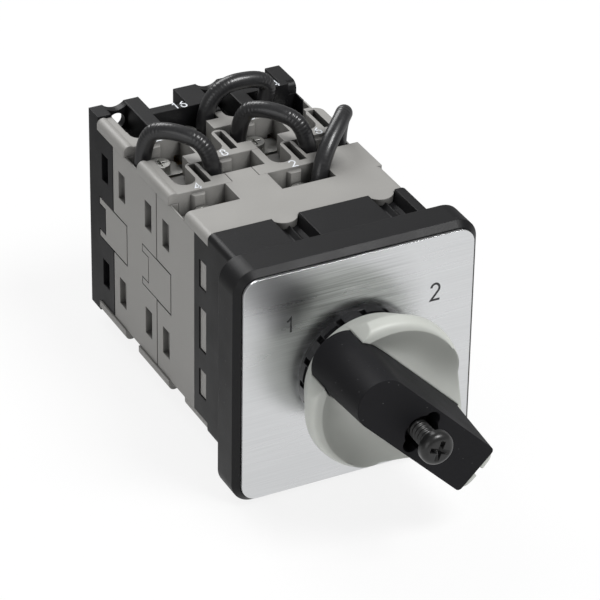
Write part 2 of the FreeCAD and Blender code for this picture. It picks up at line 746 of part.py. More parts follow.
def cover_nose(x):
    """Return the rounded nose of the cover that closes the end of a wire groove."""
    floor = INDEX_HALF_H - GROOVE_DEPTH
    foot = GROOVE_WIDTH / 2 - GROOVE_SLOPE - PLAY
    half = foot + GROOVE_SLOPE * (DECK_Z - floor) / GROOVE_DEPTH
    outline = [(x - half, DECK_Z), (x + half, DECK_Z), (x + foot, floor + PLAY), (x - foot, floor + PLAY)]
    filling = prism_y(outline, INDEX_DEPTH - NOSE_REACH - 1, INDEX_DEPTH)
    return filling.common(rod_z(NOSE_R, floor, DECK_Z, x, INDEX_DEPTH - NOSE_REACH + NOSE_R))


def terminal_cover():
    """Raised cover over the front of the first module, with fingers between the blocks."""
    w = BODY_HALF_W
    plate = box(-w, w, INDEX_DEPTH, DECK_END, SIDE_HALF_H, DECK_Z)
    plate = plate.makeFillet(EDGE_R, edges_along(plate, AXIS_Y, lambda p: p.z > DECK_Z - PLAY))
    flange_end = ROW_FIRST + FLANGE_LENGTH
    inner = INNER_HALF_W - FIT
    middle = (COLUMNS_A[0] + COLUMNS_A[1]) / 2
    half = COLUMN_PITCH / 2 - FLANGE_HALF_W - PLAY
    edge = COLUMNS_A[1] + SLOT_HALF
    pieces = [
        plate,
        box(middle - BLOCK_HALF_W, middle + BLOCK_HALF_W, DECK_END, ROW_FIRST, FLOOR_Z, DECK_Z),
        box(middle - half, middle + half, DECK_END, flange_end, FLOOR_Z, DECK_Z),
        box(edge, inner, DECK_END, ROW_FIRST, FLOOR_Z, DECK_Z),
        box(edge, w, DECK_END, ROW_FIRST, SIDE_HALF_H, DECK_Z),
        box(COLUMNS_A[1] + FLANGE_HALF_W + PLAY, inner, DECK_END, flange_end, FLOOR_Z, DECK_Z),
        box(COLUMNS_A[1] + FLANGE_HALF_W + PLAY, w, DECK_END, flange_end, SIDE_HALF_H, DECK_Z),
    ]
    pieces += [cover_nose(x) for x in COLUMNS_B]
    return Part.makeCompound(up_down(fuse(pieces)))


def contact_housing(front, rear, levels, first):
    """Return one grey contact module with its two chambers and strap pockets."""
    w, h = BODY_HALF_W, SIDE_HALF_H
    body = box(-w, w, front, rear, -h, h)
    start = DECK_END if first else front - 1
    body = cut(body, up_down(box(-INNER_HALF_W, INNER_HALF_W, start, rear + 1, FLOOR_Z, h + 1)))
    tools, adds, latches = [], [], []
    if first:
        tools += left_right(box(-w - 1, -w + SKIRT_THICK, front - 1, SKIRT_END, -h, h))
        tools.append(box(-CHAMBER_HALF_W, CHAMBER_HALF_W, rear - PARTITION_THICK - FIT, rear + 1,
                         -CHAMBER_HALF_H, CHAMBER_HALF_H))
        latches = [s.common(box(-w + LOOSE, w - LOOSE, front, SKIRT_END, -h, h)) for s in skirt_windows(PLAY)]
    else:
        tongue_seat(front, tools)
        tools += seam(front)
        tools += side_windows([front + WINDOW_SETBACK], DEEP_WINDOW_DEPTH)
    tools += side_windows([rear - WINDOW_SETBACK], WINDOW_DEPTH)
    tongue(rear, tools, adds)
    tools.append(rod_y(CAM_HUB_R + PLAY, front - 1, rear + 1))
    tools.append(chamber(levels[0], front - 1, 0))
    tools.append(chamber(levels[1], REAR_END, rear + 1))
    tools += strap_pockets()
    tools += tie_holes(front - 1, rear + 1)
    body = cut(fuse([body] + adds), tools)
    return fuse([body] + latches) if latches else body


def insulating_partition(station):
    """Thin plate that closes the chamber between the two modules."""
    w, h = CHAMBER_HALF_W, CHAMBER_HALF_H
    plate = box(-w + PLAY, w - PLAY, station - PARTITION_THICK, station, -h + PLAY, h - PLAY)
    return plate.cut(rod_y(CAM_HUB_R + PLAY, station - PARTITION_THICK - 1, station + 1))


def block_rim(front, rear):
    """Return the rounded bead along the left edge of an outer block."""
    x0 = -BODY_HALF_W - RIM_PROUD
    centre = DECK_Z + RIM_RISE - RIM_R
    bead = rod_y(RIM_R, front, rear, x0 + RIM_R, centre)
    bead = bead.common(box(x0, x0 + 2 * RIM_R, front, rear, centre, centre + RIM_R))
    web = box(x0, -INNER_HALF_W + 1, front, rear, SIDE_HALF_H, centre)
    fill = box(x0 + RIM_R, -INNER_HALF_W + 1, front, rear, centre, DECK_Z)
    return [bead, web, fill]


def terminal_block(x, front, length):
    """Return one wire-entry block: flange, screwdriver cup, ramped pocket, post and rim."""
    left = x - BLOCK_HALF_W < -INNER_HALF_W
    right = x + BLOCK_HALF_W > INNER_HALF_W
    inner = INNER_HALF_W - FIT
    z0, z1 = FLOOR_Z, DECK_Z
    x0 = f0 = -inner
    if not left:
        x0, f0 = x - BLOCK_HALF_W, x - FLANGE_HALF_W
    x1, f1 = min(x + BLOCK_HALF_W, inner), min(x + FLANGE_HALF_W, inner)
    rear = front + length
    rib = rod_z(RIB_R, z0 + FLANGE_LIFT, z1 - RIB_TOP, x, front)
    rib = rib.common(box(x - RIB_R, x + RIB_R, front - RIB_PROUD, front + 1, z0, z1))
    parts = [box(x0, x1, front, rear, z0, z1), rib,
             box(f0, f1, front, front + FLANGE_LENGTH, z0 + FLANGE_LIFT, z1)]
    if left:
        parts += block_rim(front, min(front + RIM_LENGTH, REAR_END - REAR_WALL - SEAM))
    if right:
        parts.append(box(inner - 1, BODY_HALF_W, front, rear, SIDE_HALF_H, z1))
    block = fuse(parts)
    cup_x, cup_r = x + CUP_OFFSET, CUP_WIDTH / 2
    cup_y = front + CUP_START + cup_r
    tools = [rod_z(cup_r, z0 + CUP_FLOOR, z1 + 1, cup_x, cup_y),
             box(cup_x - cup_r, cup_x + cup_r, cup_y, rear + 1, z0 + CUP_FLOOR, z1 + 1)]
    if length > POST_LENGTH:
        px, y0 = x + BLOCK_HALF_W - POCKET_INSET, front + POCKET_START
        ramp = [(y0, z1 - POCKET_SHALLOW), (y0, z1 + 1), (y0 + POCKET_LENGTH, z1 + 1),
                (y0 + POCKET_LENGTH, z1 - POCKET_DEPTH)]
        tools.append(prism_x(ramp, px - POCKET_WIDTH / 2, px + POCKET_WIDTH / 2))
        edge = BODY_HALF_W if right else x1
        post_r = (edge - cup_x - cup_r) / 2
        post_y = front + POST_LENGTH - post_r
        behind = box(cup_x + cup_r, edge, post_y, rear + 1, z0 + CUP_FLOOR, z1 + 1)
        tools.append(behind.cut(rod_z(post_r, z0, z1 + 2, edge - post_r, post_y)))
    return cut(block, tools)


def terminal_blocks(row):
    """Return the blocks of one row above and below, as separate pieces."""
    kind, front = ROWS[row]
    last = row == 2
    length = REAR_BLOCK_LENGTH if last else BLOCK_LENGTH
    pieces = []
    for x in columns(kind):
        block = terminal_block(x, front, length)
        pieces += up_down(block if last else cut(block, next_flanges(row + 1, front + length)))
    return Part.makeCompound(pieces)


def next_flanges(row, rear):
    """Return the room that the flanges of the following row take from the blocks before it."""
    kind, front = ROWS[row]
    reach = FLANGE_HALF_W + FIT
    return [box(x - reach, x + reach, front - FIT, rear + 1, FLOOR_Z + FLANGE_LIFT - FIT, DECK_Z + 1)
            for x in columns(kind)]


def rear_top():
    """Return the castellated upper edge of the rear plate with its bracket, before cutting."""
    w = BODY_HALF_W
    tower = box(-INNER_HALF_W, INNER_HALF_W, REAR_JOINT, REAR_END, FLOOR_Z - 1, CREST_Z)
    crest = box(-w, w, REAR_END - REAR_WALL, REAR_END, SIDE_HALF_H - 1, CREST_Z)
    bracket = box(w - BRACKET_WIDTH, w, ROWS[3][1], REAR_END, SIDE_HALF_H - 1, CREST_Z)
    front_edge = [e for e in edges_along(bracket, V(1, 0, 0), lambda p: p.z > SIDE_HALF_H)
                  if e.CenterOfMass.y < ROWS[3][1] + 1]
    bracket = bracket.makeFillet(BRACKET_ROUND, front_edge)
    return fuse([tower, crest, bracket])


def rear_top_tools():
    """Return what is cut from the rear plate's upper edge."""
    top = CREST_Z + 2
    front_b = ROWS[3][1]
    r = CUP_WIDTH / 2
    tools = []
    for x in COLUMNS_A:
        cup_x = x + CUP_OFFSET
        tools.append(box(cup_x - r, cup_x + r, REAR_JOINT - 1, REAR_END - EYE_WALL, FLOOR_Z + CUP_FLOOR, top))
        tools.append(rod_y(VALLEY_R, REAR_JOINT, REAR_END + 1, cup_x, CREST_Z + VALLEY_R - VALLEY_DEPTH))
        tools.append(rod_y(EYE_R, REAR_END - REAR_WALL, REAR_END + 1, cup_x, FLOOR_Z + CUP_FLOOR + EYE_R))
        x0 = x + BLOCK_HALF_W + SEAM
        x1 = x + COLUMN_PITCH - FLANGE_HALF_W - RIB_TOP
        notch = [(x0 - SEAM, top), (x0, CREST_Z), (x0 + NOTCH_SLOPE, FLOOR_Z + NOTCH_FLOOR),
                 (x1, FLOOR_Z + NOTCH_FLOOR), (x1, CREST_Z - SEAM), (x1 + SEAM, top)]
        tools.append(prism_y(notch, front_b + EYE_WALL, REAR_END + 1))
        tools.append(box(x + BLOCK_HALF_W, min(x + COLUMN_PITCH - BLOCK_HALF_W, INNER_HALF_W), REAR_JOINT - 1,
                         front_b, FLOOR_Z, top))
    tools.append(box(-INNER_HALF_W - 1, -INNER_HALF_W + EDGE_R, REAR_JOINT - 1, REAR_END - REAR_WALL,
                     SIDE_HALF_H, top))
    return tools


def rear_end_plate():
    """Black rear piece: shaft bearing, terminal towers and castellated edges."""
    w, h = BODY_HALF_W, SIDE_HALF_H
    body = box(-w, w, REAR_JOINT, REAR_END, -h, h)
    body = cut(body, up_down(box(-INNER_HALF_W, INNER_HALF_W, REAR_JOINT - 1, REAR_END - REAR_WALL,
                                 FLOOR_Z, h + 1)))
    tools = seam(REAR_JOINT)
    for tool in rear_top_tools():
        tools += up_down(tool)
    tongue_seat(REAR_JOINT, tools)
    tools += side_windows([REAR_JOINT + WINDOW_SETBACK], DEEP_WINDOW_DEPTH)
    tools.append(rod_y(REAR_JOURNAL_R + FIT, REAR_JOINT - 1, SHAFT_REAR + LOOSE))
    tools += strap_pockets()
    tools += tie_holes(REAR_JOINT - 1, REAR_END + 1)
    tools += tie_holes(REAR_END - TIE_HEAD_H - TIE_SINK, REAR_END + 1, TIE_HEAD_R + PLAY)
    return cut(fuse([body] + up_down(rear_top())), tools)


def tie_bolts():
    """Two long bolts from the rear plate into the index housing."""
    pieces = []
    for x, z in ((TIE_X, TIE_Z), (-TIE_X, -TIE_Z)):
        top = REAR_END - TIE_SINK
        head = rod_y(TIE_HEAD_R, top - TIE_HEAD_H, top, x, z)
        shank = rod_y(TIE_R, TIE_TIP, top - TIE_HEAD_H + PLAY, x, z)
        slot = box(x - TIE_HEAD_R, x + TIE_HEAD_R, top - TIE_SLOT_DEPTH, top + 1,
                   z - TIE_SLOT_WIDTH / 2, z + TIE_SLOT_WIDTH / 2)
        pieces.append(cut(head.fuse(shank), [slot]))
    return Part.makeCompound(pieces)


def switch_shaft():
    """Square shaft with a round rear journal and a tapped front end."""
    half = SHAFT_SIDE / 2
    shaft = box(-half, half, SHAFT_FRONT, REAR_JOINT - PLAY, -half, half)
    shaft = turned(shaft, REST_ANGLE)
    shaft = shaft.fuse(rod_y(REAR_JOURNAL_R, REAR_JOINT - 1, SHAFT_REAR))
    return cut(shaft, [rod_y(SCREW_SHANK_R + FIT, SHAFT_FRONT - 1, SHAFT_FRONT + SCREW_LENGTH)])


def cam_outline(y, opens):
    """Return the cam's edge: the radius changes evenly with the angle, rising and falling twice."""
    edges = []
    for quarter in range(4):
        rising = (quarter % 2 == 1) == opens
        points = []
        for i in range(7):
            part = i / 6
            a = math.radians(90 * (quarter + part))
            r = CAM_LOW_R + CAM_LIFT * (part if rising else 1 - part)
            points.append(V(r * math.sin(a), y, r * math.cos(a)))
        curve = Part.BSplineCurve()
        curve.interpolate(points)
        edges.append(curve.toShape())
    return Part.Face(Part.Wire(edges))


def cam(number):
    """Cam of one level: odd levels open their contacts in position 2, even levels close them."""
    level = LEVELS[number - 1]
    opens = number % 2 == 1
    lobe = cam_outline(level - CAM_WIDTH / 2, opens).extrude(V(0, CAM_WIDTH, 0))
    half = LEVEL_PITCH / 2 - FIT
    rear = min(level + half, REAR_JOINT - PLAY)
    hub = rod_y(CAM_HUB_R, level - half, rear)
    return fuse([lobe, hub]).cut(turned(square_bore(0, REAR_END), REST_ANGLE))


def follower_offset(number):
    """Return how far a level's followers stand out at rest, beyond the low radius."""
    return 0.0 if number % 2 == 1 else CAM_LIFT


def cam_follower(number, side):
    """Plastic slider with a rounded nose on the cam and a window for the contact bridge."""
    level = LEVELS[number - 1]
    y0, y1 = level - FOLLOWER_WIDTH / 2, level + FOLLOWER_WIDTH / 2
    half_h, r = FOLLOWER_HALF_H, FOLLOWER_NOSE_R
    nose = CAM_LOW_R + FIT
    root = nose + r + FOLLOWER_FLANK
    stem = box(root, FOLLOWER_END, y0, y1, -half_h, half_h)
    flank = prism_y([(nose + r, r), (root, half_h), (root, -half_h), (nose + r, -r)], y0, y1)
    body = fuse([stem, flank, rod_y(r, y0, y1, nose + r, 0)])
    x0 = bridge_face()
    window = box(x0, x0 + BRIDGE_THICK, y0 - 1, y1 - FOLLOWER_EDGE, -half_h - 1, half_h + 1)
    return placed(body.cut(window), number, side)


def bridge_face():
    """Return where the bridge's inner face stands when its contacts touch."""
    return CONTACT_LEG_X + STRAP_THICK + 2 * CONTACT_TIP_H + FIT


def placed(shape, number, side):
    """Move a piece drawn at +X to its rest place on its own side."""
    shape = shape.copy()
    shape.translate(V(follower_offset(number), 0, 0))
    return shape if side > 0 else shape.mirror(V(0, 0, 0), V(1, 0, 0))


def contact_bridge(number, side):
    """Metal strip with two contact tips, carried in the follower's window."""
    level = LEVELS[number - 1]
    x0 = bridge_face()
    half_w = FOLLOWER_WIDTH / 2
    strip = box(x0, x0 + BRIDGE_THICK, level - half_w, level + half_w - FOLLOWER_EDGE,
                -BRIDGE_HALF_H, BRIDGE_HALF_H)
    tips = [rod_x(CONTACT_TIP_R, x0 - CONTACT_TIP_H, x0 + PLAY, level, z)
            for z in (-CONTACT_SPAN, CONTACT_SPAN)]
    return placed(fuse([strip] + tips), number, side)


def return_spring(number, side):
    """Bowed leaf spring between the follower and the housing's side wall."""
    level = LEVELS[number - 1]
    near = FOLLOWER_END + follower_offset(number) + FIT
    far = CHAMBER_HALF_W - FIT
    start, middle, end = V(far, 0, -SPRING_HALF_H), V(near, 0, 0), V(far, 0, SPRING_HALF_H)
    foot = V(0, 0, 2 * SPRING_THICK)
    outer = Part.Arc(start, middle, end)
    inner = Part.Arc(start + foot, middle + V(SPRING_THICK, 0, 0), end - foot)
    edges = [
        outer.toShape(),
        Part.LineSegment(end, end - foot).toShape(),
        inner.toShape(),
        Part.LineSegment(start + foot, start).toShape(),
    ]
    face = Part.Face(Part.Wire(Part.sortEdges(edges)[0]))
    leaf = face.extrude(V(0, FOLLOWER_WIDTH - 2 * SPRING_EDGE, 0))
    leaf.translate(V(0, level - FOLLOWER_WIDTH / 2 + SPRING_EDGE, 0))
    return leaf if side > 0 else leaf.mirror(V(0, 0, 0), V(1, 0, 0))


def handle_outline(half_w, head_end, y):
    """Return the handle's outline at one depth: round at the pointer, flat at the tail."""
    centre = head_end - half_w
    a, b, c, d = V(-half_w, y, -HANDLE_TAIL_END), V(-half_w, y, centre), V(half_w, y, centre), V(
        half_w, y, -HANDLE_TAIL_END)
    return Part.Wire([
        Part.LineSegment(a, b).toShape(),
        Part.Arc(b, V(0, y, head_end), c).toShape(),
        Part.LineSegment(c, d).toShape(),
        Part.LineSegment(d, a).toShape(),
    ])


def handle_solid(grow=0.0):
    """Return the drafted handle block between its seat and its front face."""
    seat = KNOB_FRONT + HANDLE_SEAT
    base = handle_outline(HANDLE_BASE_HALF_W + grow, HANDLE_HEAD_END + grow, seat + grow)
    tip = handle_outline(HANDLE_TIP_HALF_W + grow, HANDLE_HEAD_END + 0.1 + grow, HANDLE_FRONT - grow)
    return Part.makeLoft([base, tip], True, True)


def handle_insert():
    """Black bar of the knob, with the counterbored screw hole and its two side lobes."""
    bar = handle_solid()
    tail = [e for e in bar.Edges if e.CenterOfMass.z < -HANDLE_TAIL_END + PLAY and abs(e.CenterOfMass.x) > 1]
    bar = bar.makeFillet(HANDLE_CORNER, tail)
    front = HANDLE_FRONT
    floor = front + COUNTERBORE_DEPTH
    tools = [
        rod_y(COUNTERBORE_R, front - 1, floor),
        rod_y(LOBE_R, front - 1, floor, LOBE_OFFSET),
        rod_y(LOBE_R, front - 1, floor, -LOBE_OFFSET),
        rod_y(SCREW_SHANK_R + LOOSE, front - 1, KNOB_FRONT + HANDLE_SEAT + 1),
    ]
    half = SHAFT_SIDE / 2 + FIT
    tools.append(box(-half, half, SHAFT_FRONT - FIT, KNOB_REAR, -half, half))
    return turned(cut(bar, tools), REST_ANGLE)


def knob_disc():
    """Return the dished disc: conical back, rounded rim, cut straight below the pointer."""
    middle_r = (KNOB_R + KNOB_LIP_R) / 2 + KNOB_LIP_BULGE
    rim = Part.Arc(V(KNOB_R, KNOB_WIDE_Y, 0), V(middle_r, KNOB_FRONT + KNOB_LIP_DROP, 0),
                   V(KNOB_LIP_R, KNOB_FRONT, 0))
    edges = [
        Part.LineSegment(V(0, KNOB_REAR, 0), V(KNOB_REAR_R, KNOB_REAR, 0)).toShape(),
        Part.LineSegment(V(KNOB_REAR_R, KNOB_REAR, 0), V(KNOB_R, KNOB_WIDE_Y, 0)).toShape(),
        rim.toShape(),
        Part.LineSegment(V(KNOB_LIP_R, KNOB_FRONT, 0), V(0, KNOB_FRONT, 0)).toShape(),
        Part.LineSegment(V(0, KNOB_FRONT, 0), V(0, KNOB_REAR, 0)).toShape(),
    ]
    disc = Part.Face(Part.Wire(edges)).revolve(V(0, 0, 0), AXIS_Y, 360)
    chord = box(-KNOB_R, KNOB_R, KNOB_FRONT - 1, KNOB_REAR + 1, KNOB_CHORD, KNOB_R + 1)
    return cut(fuse([disc, knob_tail()]), [chord] + knob_scoops())


def tail_outline(spread, lean, y):
    """Return the outline that draws the disc out towards the bar's tail, at one depth."""
    back = HANDLE_TAIL_END + PLAY + TAIL_BULGE - lean
    x, z = TAIL_SHOULDER_X - spread, TAIL_SHOULDER_Z - spread
    end = HANDLE_TIP_HALF_W + TAIL_EDGE
    points = [(-x, 0), (-x, -z), (-end, -back), (end, -back), (x, -z), (x, 0), (-x, 0)]
    return Part.makePolygon([V(px, y, pz) for px, pz in points])


def knob_tail():
    """Return the wedge below the bar's tail, drafted towards the front and the rear."""
    wide = tail_outline(0.0, 0.0, SCOOP_FLOOR)
    front = Part.makeLoft([wide, tail_outline(TAIL_TAPER / 2, TAIL_TAPER / 2, KNOB_FRONT)], True, True)
    rear = Part.makeLoft([wide, tail_outline(TAIL_TAPER, TAIL_LEAN, KNOB_REAR - SEAM)], True, True)
    return front.fuse(rear)


def knob_scoops():
    """Return both thumb scoops: round valleys along the bar that run out at its tail."""
    top = KNOB_FRONT - 1
    length = 2 * KNOB_R
    within = rod_y(SCOOP_R, top - 1, KNOB_REAR, 0, -SCOOP_SHIFT)
    within = within.fuse(box(-SCOOP_R, SCOOP_R, top - 1, KNOB_REAR, -length, -SCOOP_SHIFT))
    start = V(SCOOP_VALLEY, SCOOP_FLOOR - SCOOP_BEND, -length)
    valley = Part.makeCylinder(SCOOP_BEND, 2 * length, start, V(0, 0, 1))
    inner = box(0, SCOOP_VALLEY, top, SCOOP_FLOOR, -length, -HANDLE_TAIL_END)
    scoop = valley.common(within)
    return left_right(scoop) + left_right(inner.common(within))


def knob_body():
    """Grey knob: dished disc with two thumb scoops, a seat for the bar and a tail rib."""
    tail = HANDLE_TAIL_END + PLAY
    half = HANDLE_TIP_HALF_W - TAIL_EDGE
    front = HANDLE_FRONT + TAIL_DROP
    start, end = -tail + 1, -tail - TAIL_EDGE
    outline = [
        Part.LineSegment(V(half, front, start), V(half, front, end)).toShape(),
        Part.Arc(V(half, front, end), V(0, front, -tail - TAIL_BULGE), V(-half, front, end)).toShape(),
        Part.LineSegment(V(-half, front, end), V(-half, front, start)).toShape(),
        Part.LineSegment(V(-half, front, start), V(half, front, start)).toShape(),
    ]
    rib = Part.Face(Part.Wire(outline)).extrude(V(0, SCOOP_FLOOR - front, 0))
    rib = rib.makeFillet(TAIL_ROUND, edges_along(rib, AXIS_Y, lambda p: p.z < -tail))
    notch = box(-TAIL_NOTCH / 2, TAIL_NOTCH / 2, front - 1, front + 2 * TAIL_NOTCH,
                -tail - TAIL_BULGE - 1, -tail - TAIL_BULGE + TAIL_NOTCH_DEPTH)
    body = fuse([knob_disc(), rib])
    tools = [handle_solid(FIT), notch, square_bore(KNOB_FRONT - 1, KNOB_REAR + 1)]
    return turned(cut(body, tools), REST_ANGLE)


def knob_screw():
    """Pan-head screw that holds the knob, drawn backed out as it stands in the picture."""
    front = SCREW_HEAD_FRONT
    head = rod_y(SCREW_HEAD_R, front, front + SCREW_HEAD_H)
    rim = [e for e in head.Edges if e.Curve.TypeId == "Part::GeomCircle" and e.CenterOfMass.y < front + PLAY]
    head = head.makeFillet(SCREW_HEAD_ROUND, rim)
    seat = front + SCREW_HEAD_H
    shank = rod_y(SCREW_SHANK_R, seat - PLAY, seat + SCREW_LENGTH)
    arm, half = RECESS_ARM, RECESS_WIDTH / 2
    point = Part.makeCone(RECESS_ARM, half, RECESS_DEPTH, V(0, front, 0), AXIS_Y)
    cross = [box(-arm, arm, front - 1, front + RECESS_DEPTH, -half, half),
             box(-half, half, front - 1, front + RECESS_DEPTH, -arm, arm)]
    recess = fuse(cross).common(fuse([point, rod_y(RECESS_ARM, front - 1, front)]))
    return turned(cut(head.fuse(shank), [recess]), RECESS_ANGLE)


def entry(row, column, hand):
    """Return the place of a wire entry: hand -1 is left of the screw, +1 right of it."""
    kind, front = ROWS[row]
    return columns(kind)[column] + hand * WIRE_ENTRY, front - SCREW_SETBACK


def wire_route(start, end, middle):
    """Return the points of a jumper between two wire entries, by way of chosen points."""
    return [V(*start, TERMINAL_TOP)] + [V(*p) for p in middle] + [V(*end, TERMINAL_TOP)]


def jumper_routes():
    """Return the four jumper routes, left to right and rear to front."""
    base = TERMINAL_TOP
    a0, a1 = entry(2, 0, -1), entry(1, 0, -1)
    b0, b1 = entry(3, 0, 1), entry(3, 1, -1)
    c0, c1 = entry(2, 1, -1), entry(1, 1, -1)
    d0 = entry(0, 1, 1)
    d1 = (COLUMNS_B[1] + SHORT_X, ROWS[1][1] - SCREW_SETBACK + SHORT_Y)
    arches = []
    for start, end in ((a0, a1), (c0, c1)):
        crown = (start[0] + ARCH_SIDE, start[1] - ARCH_BACK, base + ARCH_TOP)
        arches.append(wire_route(start, end, [(*start, base + ARCH_RISE), crown, (*end, base + ARCH_END)]))
    leaning = (b1[0] + SPAN_LEAN, b1[1], base + SPAN_RISE)
    lean = (d1[0] + SHORT_LEAN_X, d1[1] - SHORT_LEAN_Y, base + SHORT_TOP)
    return [
        arches[0],
        wire_route(b0, b1, [(*b0, base + SPAN_RISE), leaning, (*b1, base + SPAN_FOOT)]),
        arches[1],
        wire_route(d0, d1, [(*d0, base + SHORT_RISE), lean, (*d1, base + SHORT_END)]),
    ]


def wire_tube(points):
    """Sweep a round wire along straight runs joined by tangent arcs."""
    edges = []
    start = points[0]
    for before, here, after in zip(points, points[1:], points[2:]):
        u = (before - here).normalize()
        v = (after - here).normalize()
        turn = math.pi - u.getAngle(v)
        reach = BEND_SHARE * min((before - here).Length, (after - here).Length)
        radius = reach / math.tan(turn / 2)
        p0, p1 = here + u * reach, here + v * reach
        to_centre = (u + v).normalize()
        mid = here + to_centre * (radius / math.cos(turn / 2) - radius)
        edges.append(Part.LineSegment(start, p0).toShape())
        edges.append(Part.Arc(p0, mid, p1).toShape())
        start = p1
    edges.append(Part.LineSegment(start, points[-1]).toShape())
    path = Part.Wire(edges)
    profile = Part.Wire(Part.makeCircle(WIRE_R, points[0], (points[1] - points[0]).normalize()))
    return path.makePipeShell([profile], True, False)


def build():
    """Return every node's name with its shape."""
    nodes = {
        "front_frame": front_frame(),
        "dial_plate": dial_plate(),
        "neck_collar": neck_collar(),
        "index_housing": index_housing(),
        "index_cover": index_cover(),
        "index_springs": index_springs(),
        "index_wheel": index_wheel(),
        "front_contact_housing": contact_housing(INDEX_DEPTH, MODULE_JOINT, LEVELS[:2], True),
        "rear_contact_housing": contact_housing(MODULE_JOINT, REAR_JOINT, LEVELS[2:], False),
        "terminal_cover": terminal_cover(),
        "insulating_partition": insulating_partition(MODULE_JOINT),
        "rear_end_plate": rear_end_plate(),
        "terminal_screws": terminal_screws(),
        "terminal_clamps": terminal_clamps(),
        "tie_bolts": tie_bolts(),
        "switch_shaft": switch_shaft(),
        "knob_body": knob_body(),
        "handle_insert": handle_insert(),
        "knob_screw": knob_screw(),
    }
    for row, name in enumerate(("front", "middle", "rear")):
        nodes["terminal_blocks_" + name] = terminal_blocks(row)
    for number in range(1, 5):
        nodes[f"cam_{number}"] = cam(number)
        nodes[f"fixed_contacts_{number}"] = fixed_contacts(number)
        for side, hand in ((-1, "left"), (1, "right")):
            nodes[f"cam_follower_{number}_{hand}"] = cam_follower(number, side)
            nodes[f"contact_bridge_{number}_{hand}"] = contact_bridge(number, side)
            nodes[f"return_spring_{number}_{hand}"] = return_spring(number, side)
    for number, route in enumerate(jumper_routes(), start=1):
        nodes[f"jumper_wire_{number}"] = wire_tube(route)
    return nodes


os.makedirs("parts", exist_ok=True)
for name, shape in build().items():
    print(name, len(shape.Solids), round(shape.Volume, 1), shape.isValid())
    shape.exportStep(f"parts/{name}.step")
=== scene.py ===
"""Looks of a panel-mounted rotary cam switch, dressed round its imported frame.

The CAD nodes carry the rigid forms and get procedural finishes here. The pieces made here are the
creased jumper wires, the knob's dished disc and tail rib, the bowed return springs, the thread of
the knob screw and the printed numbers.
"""

import json
import logging
import math
from dataclasses import dataclass, field
from enum import Enum

import bmesh
import bpy
import numpy as np
from mathutils import Matrix, Vector

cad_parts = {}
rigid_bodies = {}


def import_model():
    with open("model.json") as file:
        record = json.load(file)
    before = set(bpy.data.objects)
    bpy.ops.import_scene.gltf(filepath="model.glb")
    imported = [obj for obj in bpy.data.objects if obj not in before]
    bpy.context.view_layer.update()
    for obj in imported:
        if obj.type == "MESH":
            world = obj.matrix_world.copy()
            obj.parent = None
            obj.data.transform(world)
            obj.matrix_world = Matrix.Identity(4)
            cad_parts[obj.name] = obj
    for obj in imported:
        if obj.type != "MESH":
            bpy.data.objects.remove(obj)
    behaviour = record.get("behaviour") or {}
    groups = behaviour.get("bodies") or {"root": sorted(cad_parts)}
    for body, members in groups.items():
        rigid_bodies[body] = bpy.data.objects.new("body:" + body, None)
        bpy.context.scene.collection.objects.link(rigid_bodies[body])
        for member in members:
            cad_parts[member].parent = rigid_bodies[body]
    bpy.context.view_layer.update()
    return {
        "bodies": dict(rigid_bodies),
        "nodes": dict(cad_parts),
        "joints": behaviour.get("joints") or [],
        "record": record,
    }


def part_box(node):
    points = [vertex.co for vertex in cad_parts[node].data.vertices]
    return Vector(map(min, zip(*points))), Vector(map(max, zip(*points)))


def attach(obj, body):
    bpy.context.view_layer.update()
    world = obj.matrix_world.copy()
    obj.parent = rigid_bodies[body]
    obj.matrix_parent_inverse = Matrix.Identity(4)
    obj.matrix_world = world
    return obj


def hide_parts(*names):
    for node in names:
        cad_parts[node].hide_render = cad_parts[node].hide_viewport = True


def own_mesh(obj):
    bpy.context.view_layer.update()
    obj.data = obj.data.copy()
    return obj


LOG = logging.getLogger("cam_switch")
MM = 0.001
TINY = 1e-6
FAR = 1e6
TURN = 2 * math.pi
Colour = tuple[float, float, float]
Point = tuple[float, float, float]
Pair = tuple[float, float]
Levels = tuple[float, float, float, float]
Steps = tuple[float, float, int]
Station = tuple[np.ndarray, np.ndarray]
Socket = bpy.types.NodeSocket
Piece = bpy.types.Object


class Body(Enum):
    """The rigid bodies that carry the pieces made here."""

    HOUSING = "housing"
    ROTOR = "rotor"


class Slot(Enum):
    """The record's material slots."""

    BLACK = "black_plastic"
    COLLAR = "collar_black"
    DIAL = "dial_metal"
    GREY = "grey_plastic"
    KNOB = "knob_grey"
    HANDLE = "handle_black"
    KNOB_SCREW = "screw_black"
    STEEL = "plated_steel"
    SPRING = "spring_steel"
    CAM = "cam_plastic"
    CONTACT = "contact_brass"
    BOARD = "partition_board"
    WIRE = "wire_jacket"


class Side(Enum):
    """The two terminal sides of the switch, by the sign of their height."""

    UPPER = 1
    LOWER = -1


class Detail(Enum):
    """How many finer layers a noise pattern has."""

    GRAIN = 2.0
    SOFT = 3.0
    CLOUD = 4.0
    RICH = 5.0


def per(size_mm: float) -> float:
    """Return how often a pattern of a size in millimetres repeats in a metre."""
    return 1 / (size_mm * MM)


def shaded(colour: Colour, factor: float) -> Colour:
    """Return a colour made lighter or darker by a factor."""
    return tuple(min(1.0, channel * factor) for channel in colour)


